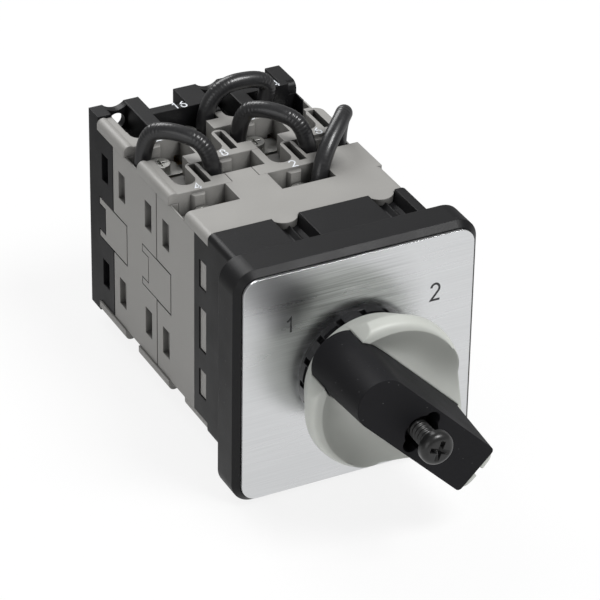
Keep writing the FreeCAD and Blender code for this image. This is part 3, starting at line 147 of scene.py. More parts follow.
class NodeSheet:
    """A node tree, with short calls to add nodes and to feed their sockets."""

    noise_range: Pair = (0.25, 0.75)

    def __init__(self, block: bpy.types.ID) -> None:
        """Take over a node tree.

        Args:
            block: the material or world that owns the tree.
        """
        block.use_nodes = True
        self.block = block
        self.tree = block.node_tree

    def feed(self, socket: Socket, value: object) -> None:
        """Give an input socket a constant, or join an output socket to it.

        Args:
            socket: the input socket.
            value: a number, a vector, a colour or an output socket.
        """
        if isinstance(value, Socket):
            self.tree.links.new(value, socket)
        else:
            socket.default_value = value

    def fill(self, node: bpy.types.Node, **inputs: object) -> None:
        """Feed a node's sockets by their names, which have underscores for spaces."""
        for name, value in inputs.items():
            self.feed(node.inputs[name.replace("_", " ")], value)

    def add(self, kind: str, options: dict[str, object] | None = None, **inputs: object) -> bpy.types.Node:
        """Add a node.

        Args:
            kind: the node's type name.
            options: the node's own settings, such as its operation.
            inputs: what each socket is fed, by its name.

        Returns:
            The new node.
        """
        node = self.tree.nodes.new(kind)
        for name, value in (options or {}).items():
            setattr(node, name, value)
        self.fill(node, **inputs)
        return node

    def calculate(self, operation: str, *values: object, kind: str = "ShaderNodeMath") -> Socket:
        """Return the result of a maths operation.

        Args:
            operation: the operation's name.
            values: what the sockets are fed, in order.
            kind: the type name of the maths node.

        Returns:
            The result.
        """
        node = self.add(kind, {"operation": operation})
        for socket, value in zip(node.inputs, values):
            self.feed(socket, value)
        return node.outputs["Value"]

    def place(self, scale: Point = (1.0, 1.0, 1.0), uv: bool = False) -> Socket:
        """Return Object coordinates, or those of the UV map, scaled along each axis."""
        source = self.add("ShaderNodeTexCoord").outputs["UV" if uv else "Object"]
        return self.add("ShaderNodeMapping", Scale=scale, Vector=source).outputs["Vector"]

    def noise(self, where: Socket, scale: float = 1.0, detail: Detail = Detail.SOFT) -> Socket:
        """Return a noise value, mostly within the noise range."""
        return self.add("ShaderNodeTexNoise", Vector=where, Scale=scale, Detail=detail.value).outputs["Fac"]

    def ramp(self, value: Socket, before: Pair, after: Pair) -> Socket:
        """Map a value from one range onto another, and keep it within that."""
        ends = {"From_Min": before[0], "From_Max": before[1], "To_Min": after[0], "To_Max": after[1]}
        return self.add("ShaderNodeMapRange", Value=value, **ends).outputs["Result"]

    def spread(self, noise: Socket, middle: float, change: Pair) -> Socket:
        """Let a noise change a number between two sides of its middle."""
        return self.ramp(noise, self.noise_range, (middle + change[0], middle + change[1]))

    def mix(self, factor: Socket, first: Colour | Socket, second: Colour | Socket) -> Socket:
        """Mix two colours, each of them flat or a socket.

        Args:
            factor: 0 gives the first colour, 1 the second.
            first: the first colour.
            second: the second colour.

        Returns:
            The mixed colour.
        """
        ends = [colour if isinstance(colour, Socket) else (*colour, 1.0) for colour in (first, second)]
        node = self.add("ShaderNodeMix", {"data_type": "RGBA"}, Factor=factor, A=ends[0], B=ends[1])
        return node.outputs["Result"]

    def tint(self, noise: Socket, colour: Colour, tones: Pair) -> Socket:
        """Let a noise change a colour between a dark and a light tone."""
        return self.mix(noise, *(shaded(colour, tone) for tone in tones))


class FinishSheet(NodeSheet):
    """The node tree of a finish, built round its surface shader."""

    edge_samples: int = 6

    def __init__(self, name: str) -> None:
        """Start a material and find its surface shader."""
        super().__init__(bpy.data.materials.new(name))
        self.surface = self.tree.nodes["Principled BSDF"]

    def give(self, **inputs: object) -> None:
        """Feed the surface shader's sockets by their names."""
        self.fill(self.surface, **inputs)

    def relief(self, height: Socket, depth_mm: float, edge_mm: float = 0.0) -> None:
        """Drive the surface normal by a height and by softly rounded edges.

        Args:
            height: the relief's height.
            depth_mm: the height's depth.
            edge_mm: the radius of the moulded edges, or 0 for none.
        """
        bump = self.add("ShaderNodeBump", Strength=1.0, Distance=depth_mm * MM, Height=height)
        if edge_mm > 0:
            edges = self.add("ShaderNodeBevel", {"samples": self.edge_samples}, Radius=edge_mm * MM)
            self.fill(bump, Normal=edges.outputs["Normal"])
        self.give(Normal=bump.outputs["Normal"])


@dataclass(frozen=True)
class MouldedPlastic:
    """Moulded plastic: spark-eroded grain, faint flow mottling, rounded edges, painted shade in hollows, and
    dust.

    Hollows get painted shade by the shade's share, and specks lie on their share of random cells.
    """

    slot: Slot
    colour: Colour
    roughness: float = 0.5
    roughness_change: Pair = (-0.06, 0.06)
    grain_mm: float = 0.12
    grain_depth_mm: float = 0.006
    cloud_mm: float = 9.0
    mottling: float = 0.05
    edge_mm: float = 0.2
    specular: float = 0.5
    shade: float = 0.0
    shade_mm: float = 3.0
    shade_open: Pair = (0.3, 0.95)
    shade_samples: int = 6
    specks: float = 0.0
    speck_cell_mm: float = 0.9
    speck_edge: Pair = (0.07, 0.13)
    speck_colour: Colour = (0.10, 0.10, 0.10)

    def material(self) -> bpy.types.Material:
        """Make the plastic's material.

        Returns:
            The material.
        """
        sheet = FinishSheet(self.slot.value)
        where = sheet.place()
        cloud = sheet.noise(where, per(self.cloud_mm), Detail.CLOUD)
        grain = sheet.noise(where, per(self.grain_mm), Detail.GRAIN)
        tone = sheet.tint(cloud, self.colour, (1 - self.mottling, 1 + self.mottling))
        if self.shade:
            tone = self.shaded_hollows(sheet, tone)
        if self.specks:
            tone = self.dusted(sheet, tone)
        rough = sheet.spread(cloud, self.roughness, self.roughness_change)
        sheet.give(Base_Color=tone, Roughness=rough, Specular_IOR_Level=self.specular)
        sheet.relief(grain, self.grain_depth_mm, self.edge_mm)
        return sheet.block

    def shaded_hollows(self, sheet: FinishSheet, tone: Socket) -> Socket:
        """Paint shade into a tone in hollows and seams, found by ambient occlusion.

        Args:
            sheet: the finish's sheet.
            tone: the tone before the painted shade.

        Returns:
            The shaded tone.
        """
        # painted shade: ambient occlusion darkens the tone in hollows and seams, where shade falls
        reach = self.shade_mm * MM
        hollow = sheet.add("ShaderNodeAmbientOcclusion", {"samples": self.shade_samples}, Distance=reach)
        openness = sheet.ramp(hollow.outputs["AO"], self.shade_open, (0.0, 1.0))
        return sheet.mix(openness, shaded(self.colour, 1 - self.shade), tone)

    def dusted(self, sheet: FinishSheet, tone: Socket) -> Socket:
        """Add sparse light specks to a tone, round a share of random cell centres.

        Args:
            sheet: the finish's sheet.
            tone: the clean tone.

        Returns:
            The specked tone.
        """
        cells = sheet.add("ShaderNodeTexVoronoi", Scale=per(self.speck_cell_mm), Vector=sheet.place())
        dot = sheet.ramp(cells.outputs["Distance"], self.speck_edge, (1.0, 0.0))
        channels = sheet.add("ShaderNodeSeparateColor", Color=cells.outputs["Color"])
        picked = sheet.ramp(channels.outputs["Red"], (1 - self.specks, 1.0), (0.0, 1.0))
        clear = sheet.calculate("SUBTRACT", 1.0, sheet.calculate("MULTIPLY", dot, picked))
        return sheet.mix(clear, self.speck_colour, tone)


@dataclass(frozen=True)
class BrushedMetal:
    """Brushed sheet: long fine scratches along X, with a painted dark reflection in streaks round one point.

    Lines, bands and streaks each have their length along X and their width along Z.
    """

    slot: Slot
    colour: Colour
    roughness: float = 0.28
    roughness_change: Pair = (-0.03, 0.03)
    anisotropy: float = 0.75
    line_mm: Pair = (12.0, 0.2)
    line_tones: Pair = (0.9, 1.06)
    line_depth_mm: float = 0.005
    band_mm: Pair = (30.0, 4.0)
    edge_mm: float = 0.1
    # painted reflection: where the dark streaks sit, how far they reach, how strong and how dark they are
    reflection_at_mm: Point = (-2.5, 0.0, 11.0)
    reflection_reach_mm: Pair = (5.0, 15.0)
    reflection_share: float = 0.8
    reflection_tone: float = 0.22
    streak_mm: Pair = (16.0, 0.28)

    def strokes(self, sheet: FinishSheet, size_mm: Pair, detail: Detail) -> Socket:
        """Return a noise drawn out along X."""
        where = sheet.place((per(size_mm[0]), per(1.0), per(size_mm[1])))
        return sheet.noise(where, detail=detail)

    def material(self) -> bpy.types.Material:
        """Make the brushed sheet's material.

        Returns:
            The material.
        """
        sheet = FinishSheet(self.slot.value)
        lines = self.strokes(sheet, self.line_mm, Detail.CLOUD)
        bands = self.strokes(sheet, self.band_mm, Detail.SOFT)
        # painted reflection laid over the brushed tone
        tone = self.painted_reflection(sheet, sheet.tint(lines, self.colour, self.line_tones))
        rough = sheet.spread(bands, self.roughness, self.roughness_change)
        tangent = sheet.add("ShaderNodeTangent", {"direction_type": "RADIAL", "axis": "Z"})
        sheet.give(Base_Color=tone, Roughness=rough, Metallic=1.0, Anisotropic=self.anisotropy)
        sheet.give(Tangent=tangent.outputs["Tangent"])
        sheet.relief(lines, self.line_depth_mm, self.edge_mm)
        return sheet.block

    def painted_reflection(self, sheet: FinishSheet, tone: Socket) -> Socket:
        """Paint a dark reflection into a tone, in streaks that fade away from its centre.

        Args:
            sheet: the finish's sheet.
            tone: the sheet's tone before the painted reflection.

        Returns:
            The tone with the painted reflection.
        """
        # painted reflection: a dark streaked patch stands for the handle and knob mirrored in the sheet
        centre = tuple(value * MM for value in self.reflection_at_mm)
        reach = tuple(value * MM for value in self.reflection_reach_mm)
        away = sheet.calculate("DISTANCE", sheet.place((1.0, 0.0, 1.0)), centre, kind="ShaderNodeVectorMath")
        near = sheet.ramp(away, reach, (self.reflection_share, 0.0))
        streak = sheet.spread(self.strokes(sheet, self.streak_mm, Detail.RICH), 0.0, (0.0, 1.0))
        share = sheet.calculate("MULTIPLY", near, streak)
        return sheet.mix(share, tone, shaded(self.colour, self.reflection_tone))


@dataclass(frozen=True)
class MachinedMetal:
    """Turned or stamped metal with a plated, slightly clouded skin."""

    slot: Slot
    colour: Colour
    roughness: float = 0.35
    roughness_change: Pair = (-0.1, 0.12)
    cloud_mm: float = 1.6
    cloud_tones: Pair = (0.82, 1.1)
    grain_mm: float = 0.05
    grain_depth_mm: float = 0.002
    edge_mm: float = 0.12

    def material(self) -> bpy.types.Material:
        """Make the metal's material.

        Returns:
            The material.
        """
        sheet = FinishSheet(self.slot.value)
        where = sheet.place()
        cloud = sheet.noise(where, per(self.cloud_mm), Detail.RICH)
        grain = sheet.noise(where, per(self.grain_mm), Detail.GRAIN)
        tone = sheet.tint(cloud, self.colour, self.cloud_tones)
        rough = sheet.spread(cloud, self.roughness, self.roughness_change)
        sheet.give(Base_Color=tone, Roughness=rough, Metallic=1.0)
        sheet.relief(grain, self.grain_depth_mm, self.edge_mm)
        return sheet.block


@dataclass(frozen=True)
class WireJacket:
    """Soft vinyl jacket: satin black, in patches that lie along the wire."""

    slot: Slot = Slot.WIRE
    colour: Colour = (0.012, 0.012, 0.013)
    roughness: float = 0.34
    roughness_change: Pair = (-0.06, 0.1)
    patches: Point = (60.0, 6.0, 1.0)
    patch_tones: Pair = (0.8, 1.7)
    grain_mm: float = 0.09
    grain_depth_mm: float = 0.002
    specular: float = 0.45
    coat: float = 0.3
    coat_roughness: float = 0.14

    def material(self) -> bpy.types.Material:
        """Make the jacket's material.

        Returns:
            The material.
        """
        sheet = FinishSheet(self.slot.value)
        patch = sheet.noise(sheet.place(self.patches, uv=True), detail=Detail.CLOUD)
        grain = sheet.noise(sheet.place(), per(self.grain_mm), Detail.GRAIN)
        tone = sheet.tint(patch, self.colour, self.patch_tones)
        rough = sheet.spread(patch, self.roughness, self.roughness_change)
        sheet.give(Base_Color=tone, Roughness=rough, Specular_IOR_Level=self.specular)
        sheet.give(Coat_Weight=self.coat, Coat_Roughness=self.coat_roughness)
        sheet.relief(grain, self.grain_depth_mm)
        return sheet.block


@dataclass(frozen=True)
class PrintInk:
    """Printed ink, thin and slightly uneven."""

    name: str
    colour: Colour
    roughness: float = 0.6
    patch_mm: float = 0.4
    patch_tones: Pair = (0.8, 1.15)

    def material(self) -> bpy.types.Material:
        """Make the ink's material.

        Returns:
            The material.
        """
        sheet = FinishSheet(self.name)
        patch = sheet.noise(sheet.place(), per(self.patch_mm))
        sheet.give(Base_Color=sheet.tint(patch, self.colour, self.patch_tones), Roughness=self.roughness)
        return sheet.block


FINISHES = (
    MouldedPlastic(Slot.BLACK, (0.0080, 0.0080, 0.0088), 0.42, grain_mm=0.3, grain_depth_mm=0.014,
                   specular=0.22, specks=0.12),
    MouldedPlastic(Slot.COLLAR, (0.010, 0.010, 0.011), 0.16, grain_depth_mm=0.001, edge_mm=0.12),
    BrushedMetal(Slot.DIAL, (0.80, 0.81, 0.82)),
    MouldedPlastic(Slot.GREY, (0.305, 0.299, 0.286), 0.46, grain_mm=0.22, grain_depth_mm=0.014,
                   mottling=0.08, edge_mm=0.28, shade=0.75),
    MouldedPlastic(Slot.KNOB, (0.520, 0.535, 0.500), 0.4, grain_depth_mm=0.003, edge_mm=0.4),
    MouldedPlastic(Slot.HANDLE, (0.009, 0.009, 0.0105), 0.6, grain_mm=0.25, grain_depth_mm=0.02,
                   edge_mm=0.25, specular=0.15, specks=0.25),
    MouldedPlastic(Slot.KNOB_SCREW, (0.012, 0.012, 0.012), 0.3, grain_depth_mm=0.002, edge_mm=0.1),
    MachinedMetal(Slot.STEEL, (0.55, 0.55, 0.53)),
    MachinedMetal(Slot.SPRING, (0.48, 0.48, 0.5), 0.25),
    MouldedPlastic(Slot.CAM, (0.62, 0.58, 0.45), 0.3),
    MachinedMetal(Slot.CONTACT, (0.74, 0.52, 0.25), 0.3),
    MouldedPlastic(Slot.BOARD, (0.20, 0.10, 0.045), 0.6, mottling=0.2),
    WireJacket(),
)
DIAL_INK = PrintInk("dial_ink", (0.03, 0.03, 0.032))
TERMINAL_INK = PrintInk("terminal_ink", (0.75, 0.78, 0.82))


def surface_mesh(
    name: str, grids: list[np.ndarray], round_v: bool, uv: np.ndarray | None = None, smooth: bool = True
) -> Piece:
    """Make a mesh object from grids of points.

    Args:
        name: the piece's name.
        grids: points in metres, each grid shaped rows, columns, 3.
        round_v: True joins the last column of each grid to its first.
        uv: UV values for the points of a single grid, shaped rows, columns, 2.
        smooth: True shades the faces as one smooth surface.

    Returns:
        The new object, at the origin.
    """
    faces, first = [], 0
    for grid in grids:
        rows, columns = grid.shape[:2]
        row = np.arange(rows - 1)[:, None] * columns + first
        column = np.arange(columns if round_v else columns - 1)[None, :]
        after = (column + 1) % columns
        corners = [row + column, row + after, row + columns + after, row + columns + column]
        faces.append(np.stack(corners, axis=-1).reshape(-1, 4))
        first += rows * columns
    quads = np.concatenate(faces)
    points = np.concatenate([grid.reshape(-1, 3) for grid in grids])
    mesh = bpy.data.meshes.new(name)
    mesh.from_pydata(points.tolist(), [], quads.tolist())
    if uv is not None:
        layer = mesh.uv_layers.new(name="UVMap")
        layer.data.foreach_set("uv", uv.reshape(-1, 2)[quads.ravel()].astype(np.float32).ravel())
    mesh.polygons.foreach_set("use_smooth", np.full(len(mesh.polygons), smooth))
    mesh.update()
    piece = bpy.data.objects.new(name, mesh)
    bpy.context.scene.collection.objects.link(piece)
    return piece


def close_mesh(piece: Piece, reach: float = 1e-7, sharp_deg: float | None = None) -> None:
    """Merge points that share a place, such as those at a pole, and turn the faces outwards.

    Args:
        piece: the object whose mesh is closed.
        reach: how near two points are, in metres, to count as one.
        sharp_deg: the angle between faces past which their edge stays sharp, if any does.
    """
    work = bmesh.new()
    work.from_mesh(piece.data)
    bmesh.ops.remove_doubles(work, verts=work.verts, dist=reach)
    bmesh.ops.recalc_face_normals(work, faces=work.faces)
    work.to_mesh(piece.data)
    work.free()
    piece.data.update()
    if sharp_deg is not None:
        piece.data.set_sharp_from_angle(angle=math.radians(sharp_deg))


def spline_points(route: tuple[Point, ...], samples: int, resolution: int = 48) -> np.ndarray:
    """Read a smooth line through a route's points.

    The line is an open quadratic spline with the route's points as its control points.

    Args:
        route: the control points in millimetres.
        samples: how many points the line gets, evenly spaced along it.
        resolution: how many steps the spline is first read in between two control points.

    Returns:
        Points in metres, shaped samples, 3.
    """
    curve = bpy.data.curves.new("route", "CURVE")
    curve.dimensions = "3D"
    curve.resolution_u = resolution
    spline = curve.splines.new("NURBS")
    spline.points.add(len(route) - 1)
    spline.points.foreach_set("co", np.array([(*np.array(p) * MM, 1.0) for p in route]).ravel())
    spline.order_u = 3
    spline.use_endpoint_u = True
    holder = bpy.data.objects.new("route", curve)
    mesh = bpy.data.meshes.new_from_object(holder)
    raw = np.empty(len(mesh.vertices) * 3)
    mesh.vertices.foreach_get("co", raw)
    bpy.data.objects.remove(holder)
    bpy.data.curves.remove(curve)
    bpy.data.meshes.remove(mesh)
    raw = raw.reshape(-1, 3)
    run = np.concatenate([[0.0], np.cumsum(np.linalg.norm(np.diff(raw, axis=0), axis=1))])
    even = np.linspace(0.0, run[-1], samples)
    return np.stack([np.interp(even, run, raw[:, axis]) for axis in range(3)], axis=1)


def unit(vectors: np.ndarray) -> np.ndarray:
    """Return vectors scaled to length one."""
    return vectors / np.linalg.norm(vectors, axis=-1, keepdims=True)


def round_angles(count: int) -> np.ndarray:
    """Return evenly spaced angles of one turn, in radians."""
    return np.linspace(0.0, TURN, count, endpoint=False)


@dataclass
class JumperWire:
    """One insulated jumper between two terminals, creased on the outside of its bends."""

    number: int
    route: tuple[Point, ...]
    radius_mm: float = 1.5
    crease_pitch_mm: float = 0.62
    crease_depth_mm: float = 0.075
    wobble: float = 0.25
    wobble_mm: float = 1.9
    sharpest_percent: float = 92.0
    slack: float = 0.4
    inner_share: float = 0.35
    rings: int = 420
    smooth_rings: int = 14
    around: int = 56

    def sides(self, line: np.ndarray, tangent: np.ndarray) -> tuple[np.ndarray, np.ndarray]:
        """Return the directions across the wire and out of its bend, square to the line.

        The side is the cross product of the vertical and the line between the ends, less its share
        along the wire. The outward direction is the side crossed with the wire's direction, and
        points up over the middle of the wire.

        Args:
            line: the wire's points.
            tangent: the wire's direction at each point.

        Returns:
            The side and the outward direction at each point.
        """
        across = line[-1] - line[0]
        side = unit(np.cross(np.array([0.0, 0.0, 1.0]), across)[None, :])
        side = unit(side - tangent * np.sum(side * tangent, axis=1, keepdims=True))
        outward = np.cross(side, tangent)
        third = self.rings // 3
        outward *= np.sign(np.mean(outward[third:-third, 2]))
        return side, outward

    def creases(self, tangent: np.ndarray, step: float, angle: np.ndarray) -> np.ndarray:
        """Return how much the creases take from the radius at each point and angle.

        The loss is the crease depth times the squared rounded wave of the length, in proportion to
        the smoothed bend past its slack and to the outward share of the angle.

        Args:
            tangent: the wire's direction at each point.
            step: the distance between two points.
            angle: the angles round the wire.

        Returns:
            The loss in metres, shaped points, angles.
        """
        bend = np.linalg.norm(np.gradient(tangent, axis=0), axis=1) / step
        count = 2 * self.smooth_rings + 1
        bend = np.convolve(np.pad(bend, self.smooth_rings, mode="edge"), np.ones(count) / count, "valid")
        share = (1.0 + self.slack) * bend / np.percentile(bend, self.sharpest_percent) - self.slack
        length = np.arange(self.rings) * step
        wobble = self.wobble * np.sin(length / (self.wobble_mm * MM) + self.number)
        wave = 0.5 - 0.5 * np.cos(TURN * length / (self.crease_pitch_mm * MM) + wobble)
        facing = np.clip(self.inner_share + (1.0 - self.inner_share) * np.sin(angle), 0.0, 1.0)
        loss = self.crease_depth_mm * MM * np.clip(share, 0.0, 1.0) * wave ** 2
        return loss[:, None] * facing[None, :]

    def build(self) -> Piece:
        """Make the wire as a tube.

        A point of the line at angle a round it lies at the line's point plus the radius times
        (cos a * side + sin a * outward), where the radius is less by the creases.

        Returns:
            The wire's object.
        """
        line = spline_points(self.route, self.rings)
        step = np.linalg.norm(np.diff(line, axis=0), axis=1).mean()
        tangent = unit(np.gradient(line, axis=0))
        side, outward = self.sides(line, tangent)
        angle = round_angles(self.around)
        radius = self.radius_mm * MM - self.creases(tangent, step, angle)
        radius[0] = radius[-1] = self.radius_mm * MM
        cosine, sine = np.cos(angle)[None, :, None], np.sin(angle)[None, :, None]
        ring = cosine * side[:, None, :] + sine * outward[:, None, :]
        grid = line[:, None, :] + radius[:, :, None] * ring
        start, end = (np.repeat(tip[None, None, :], self.around, axis=1) for tip in (line[0], line[-1]))
        grid = np.concatenate([start, grid, end], axis=0)
        if np.dot(np.cross(side[0], outward[0]), tangent[0]) > 0:
            grid = grid[:, ::-1]
        shares = np.linspace(0.0, 1.0, self.rings + 2)
        uv = np.stack(np.meshgrid(shares, np.linspace(0.0, 1.0, self.around), indexing="ij"), axis=-1)
        piece = surface_mesh(f"wire_jacket_{self.number}", [grid], True, uv)
        close_mesh(piece)
        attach(piece, Body.HOUSING.value)
        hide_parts(f"jumper_wire_{self.number}")
        return piece


@dataclass
class Wiring:
    """The four jumpers on the upper side, in millimetres, ending on the clamp plates."""

    seat: float = 15.3

    def routes(self) -> tuple[tuple[Point, ...], ...]:
        """Return the jumpers' control points from left to right, as the frame has them."""
        seat = self.seat
        return (
            ((-16.8, 42.05, seat), (-16.8, 42.05, 23.6), (-13.0, 37.85, 25.4), (-7.7, 32.45, 23.4),
             (-7.7, 32.45, seat)),
            ((-1.0, 50.55, seat), (-1.0, 50.55, 24.3), (12.1, 50.55, 24.3), (10.5, 50.55, 17.6),
             (10.5, 50.55, seat)),
            ((1.4, 42.05, seat), (1.4, 42.05, 23.6), (5.2, 37.85, 25.4), (10.5, 32.45, 23.4),
             (10.5, 32.45, seat)),
            ((8.1, 23.95, seat), (8.1, 23.95, 20.8), (17.25, 31.25, 26.2), (16.85, 33.85, 21.4),
             (16.85, 33.85, seat)),
        )

    def build(self) -> list[Piece]:
        """Make the jumpers in order from left to right."""
        return [JumperWire(number, route).build() for number, route in enumerate(self.routes(), start=1)]


@dataclass
class KnobShell:
    """The grey knob: a dished disc with two shallow thumb scoops, the bar's seat and a tail rib.

    Sizes are in millimetres in the knob's own axes: x across the bar, y to the rear, z to the
    pointer. Directions are in radians from the pointer. The tail's lean and draft are given at the
    front, the widest level, the seat and the rear. Each ring of the rib has its depth, how much it
    shrinks and its share of the notch.
    """

    rest_deg: float = -45.0
    rear: float = -9.5
    rear_r: float = 11.4
    widest: float = -15.1
    widest_r: float = 14.1
    front: float = -17.5
    lip_r: float = 13.2
    rim_power: float = 2.6
    chord: float = 11.9
    seat: float = -13.0
    bore_r: float = 4.4
    tail: float = 16.85
    tail_half: float = 5.0
    tail_power: float = 40.0
    tail_lean: Levels = (0.45, 0.0, 0.5, 5.0)
    tail_draft: Levels = (1.0, 0.0, 0.1, 2.0)
    shoulder: Pair = (11.7, 8.2)
    crease_r: float = 13.0
    crease_shift: float = 1.3
    crease_run: float = 0.7
    lip: float = 0.45
    valley_r: float = 7.4
    valley_rise: float = 1.2
    depth: float = 2.2
    bar_tail: float = 15.25
    bar_head: float = 14.75
    bar_half: Pair = (5.56, 4.61)
    bar_span: Pair = (-13.1, -29.0)
    rib_half: float = 4.05
    rib_margin: float = 0.15
    rib_sag: float = 0.15
    rib_corner: float = 0.5
    rib_power: int = 6
    rib_walls: Pair = (0.02, 0.1)
    rib_rings: tuple[Point, ...] = (
        (-15.1, 0.0, 0.0), (-25.7, 0.0, 0.0), (-25.6, 0.0, 1.0),
        (-28.05, 0.0, 1.0), (-28.3, 0.1, 1.0), (-28.4, 0.35, 1.0),
    )
    notch: Pair = (1.4, 0.8)
    notch_wall: float = 0.12
    sharp_deg: float = 32.0
    weld_m: float = 2e-6
    rows: int = 361
    row_split: float = 0.002
    cone_shares: Steps = (0.0, 0.7, 8)
    rim_shares: Steps = (0.74, 1.0, 18)
    scoop_steps: int = 30
    rib_steps: int = 121
    top_rounds: int = 12

    def bar_width(self, y: np.ndarray) -> np.ndarray:
        """Return half the width of the bar's seat at a depth, which is drafted towards the front."""
        share = (y - self.bar_span[0]) / (self.bar_span[1] - self.bar_span[0])
        return self.bar_half[0] + share * (self.bar_half[1] - self.bar_half[0])

    def bar_reach(self, turn: np.ndarray, half: np.ndarray) -> np.ndarray:
        """Return how far the bar's outline lies from the axis in each direction.

        The outline is a strip of the given half width, cut square at the tail and closed by a half
        circle at the pointer.

        Args:
            turn: the directions.
            half: the strip's half width in each direction.

        Returns:
            The reach in each direction.
        """
        across, along = np.abs(np.sin(turn)), np.cos(turn)
        side = half / np.maximum(across, TINY)
        flat = np.where(along < 0, self.bar_tail / np.maximum(-along, TINY), FAR)
        centre = self.bar_head - half
        inside = np.maximum(half ** 2 - (centre * across) ** 2, 0.0)
        cap = centre * along + np.sqrt(inside)
        return np.where(side * along > centre, cap, np.minimum(side, flat))

    def tail_edge(self, turn: np.ndarray, y: np.ndarray) -> np.ndarray:
        """Return the tail's outline at a depth: a box with slanting corners, and rounded bends.

        The distance is the soft minimum of those to the side, to the square back and to the slant
        between the shoulder and the back's end: a root of the sum of their negative powers.

        Args:
            turn: the directions.
            y: the depth in each direction.

        Returns:
            The outline's distance from the axis, and 0 on the pointer's side.
        """
        across, along = np.abs(np.sin(turn)), np.cos(turn)
        levels = (self.front, self.widest, self.seat, self.rear)
        draft = np.interp(y, levels, self.tail_draft)
        x, z = self.shoulder[0] - draft, self.shoulder[1] - draft
        back = self.tail - np.interp(y, levels, self.tail_lean)
        side = x / np.maximum(across, TINY)
        square = back / np.maximum(-along, TINY)
        run, fall = x - self.tail_half, back - z
        slant = (x * fall + z * run) / np.maximum(across * fall - along * run, TINY)
        total = sum(bound ** -self.tail_power for bound in (side, square, slant))
        return np.where(along < 0, total ** (-1.0 / self.tail_power), 0.0)

    def edge(self, turn: np.ndarray, y: np.ndarray) -> np.ndarray:
        """Return the disc's outline at a depth: a circle, cut by a chord and drawn out to the tail.

        The circle's radius follows a cone behind the widest level and a flat power curve, the
        rounded rim, before it.

        Args:
            turn: the directions.
            y: the depth in each direction.

        Returns:
            The outline's distance from the axis.
        """
        cone = np.interp(y, (self.widest, self.rear), (self.widest_r, self.rear_r))
        rise = np.clip((self.widest - y) / (self.widest - self.front), 0.0, 1.0)
        swell = np.sqrt(np.maximum(1.0 - rise ** self.rim_power, 0.0))
        rim = self.lip_r + (self.widest_r - self.lip_r) * swell
        circle = np.where(y > self.widest, cone, rim)
        along = np.cos(turn)
        chord = np.where(along > 0, self.chord / np.maximum(along, TINY), FAR)
        return np.minimum(np.maximum(circle, self.tail_edge(turn, y)), chord)

    def crease(self, turn: np.ndarray, reach: float) -> np.ndarray:
        """Return the distance of the scoops' border: round at the pointer, straight to the tail.

        The round part is a circle whose centre is shifted to the tail.

        Args:
            turn: the directions.
            reach: the circle's radius, which is also the straight part's distance from the bar.

        Returns:
            The border's distance from the axis.
        """
        across, along = np.abs(np.sin(turn)), np.cos(turn)
        bow = np.sqrt(np.maximum(reach ** 2 - (self.crease_shift * across) ** 2, 0.0))
        ring = -self.crease_shift * along + bow
        return np.where(ring * along > -self.crease_shift, ring, reach / np.maximum(across, TINY))

    def face(self, turn: np.ndarray, r: np.ndarray) -> np.ndarray:
        """Return the depth of the disc's front face: flat lip, short wall and a parabolic scoop.

        The scoop is deepest at the valley, rises to the wall by a parabola, and rises on the other
        side by the squared nearness to the bar's middle.

        Args:
            turn: the directions.
            r: the distances from the axis.

        Returns:
            The depth of each point.
        """
        x, z = r * np.sin(turn), r * np.cos(turn)
        out = np.where(z > -self.crease_shift, np.hypot(x, z + self.crease_shift), np.abs(x))
        inner = self.crease_r - self.crease_run
        wall = np.clip((self.crease_r - out) / self.crease_run, 0.0, 1.0) * self.lip
        bowl = 1.0 - np.clip((out - self.valley_r) / (inner - self.valley_r), 0.0, 1.0) ** 2
        inwards = np.clip(1.0 - np.abs(x) / self.valley_r, 0.0, 1.0) ** 2
        return self.front + wall + (self.depth - self.lip) * bowl * (1.0 - self.valley_rise * inwards)

    def directions(self) -> np.ndarray:
        """Return the directions of the rows, doubled where the bar's sides leave the disc.

        Returns:
            The directions, from zero to a full turn.
        """
        even = np.linspace(0.0, math.pi, self.rows)
        corner = math.atan2(float(self.bar_width(np.array(self.front))), self.chord)
        half = np.sort(np.concatenate([even, [corner - self.row_split, corner + self.row_split]]))
        return np.concatenate([half, (TURN - half[::-1])[1:]])

    def face_stations(
        self, turn: np.ndarray, closed: np.ndarray, last: np.ndarray, seat_r: np.ndarray
    ) -> list[Station]:
        """Return the stations in over the lip, down the short wall and along the scoop.

        Args:
            turn: the directions.
            closed: True where the disc reaches out past the bar.
            last: the rim's distance from the axis.
            seat_r: the seat's distance from the axis.

        Returns:
            Each station's distances and depths.
        """
        outer, inner = (
            np.maximum(np.minimum(self.crease(turn, reach), last), seat_r)
            for reach in (self.crease_r, self.crease_r - self.crease_run)
        )
        lip = [last + (outer - last) * share for share in (0.5, 1.0)]
        scoop = [inner + (seat_r - inner) * share for share in np.linspace(0.0, 1.0, self.scoop_steps)]
        return [(r, np.where(closed, self.face(turn, r), self.seat)) for r in lip + scoop]

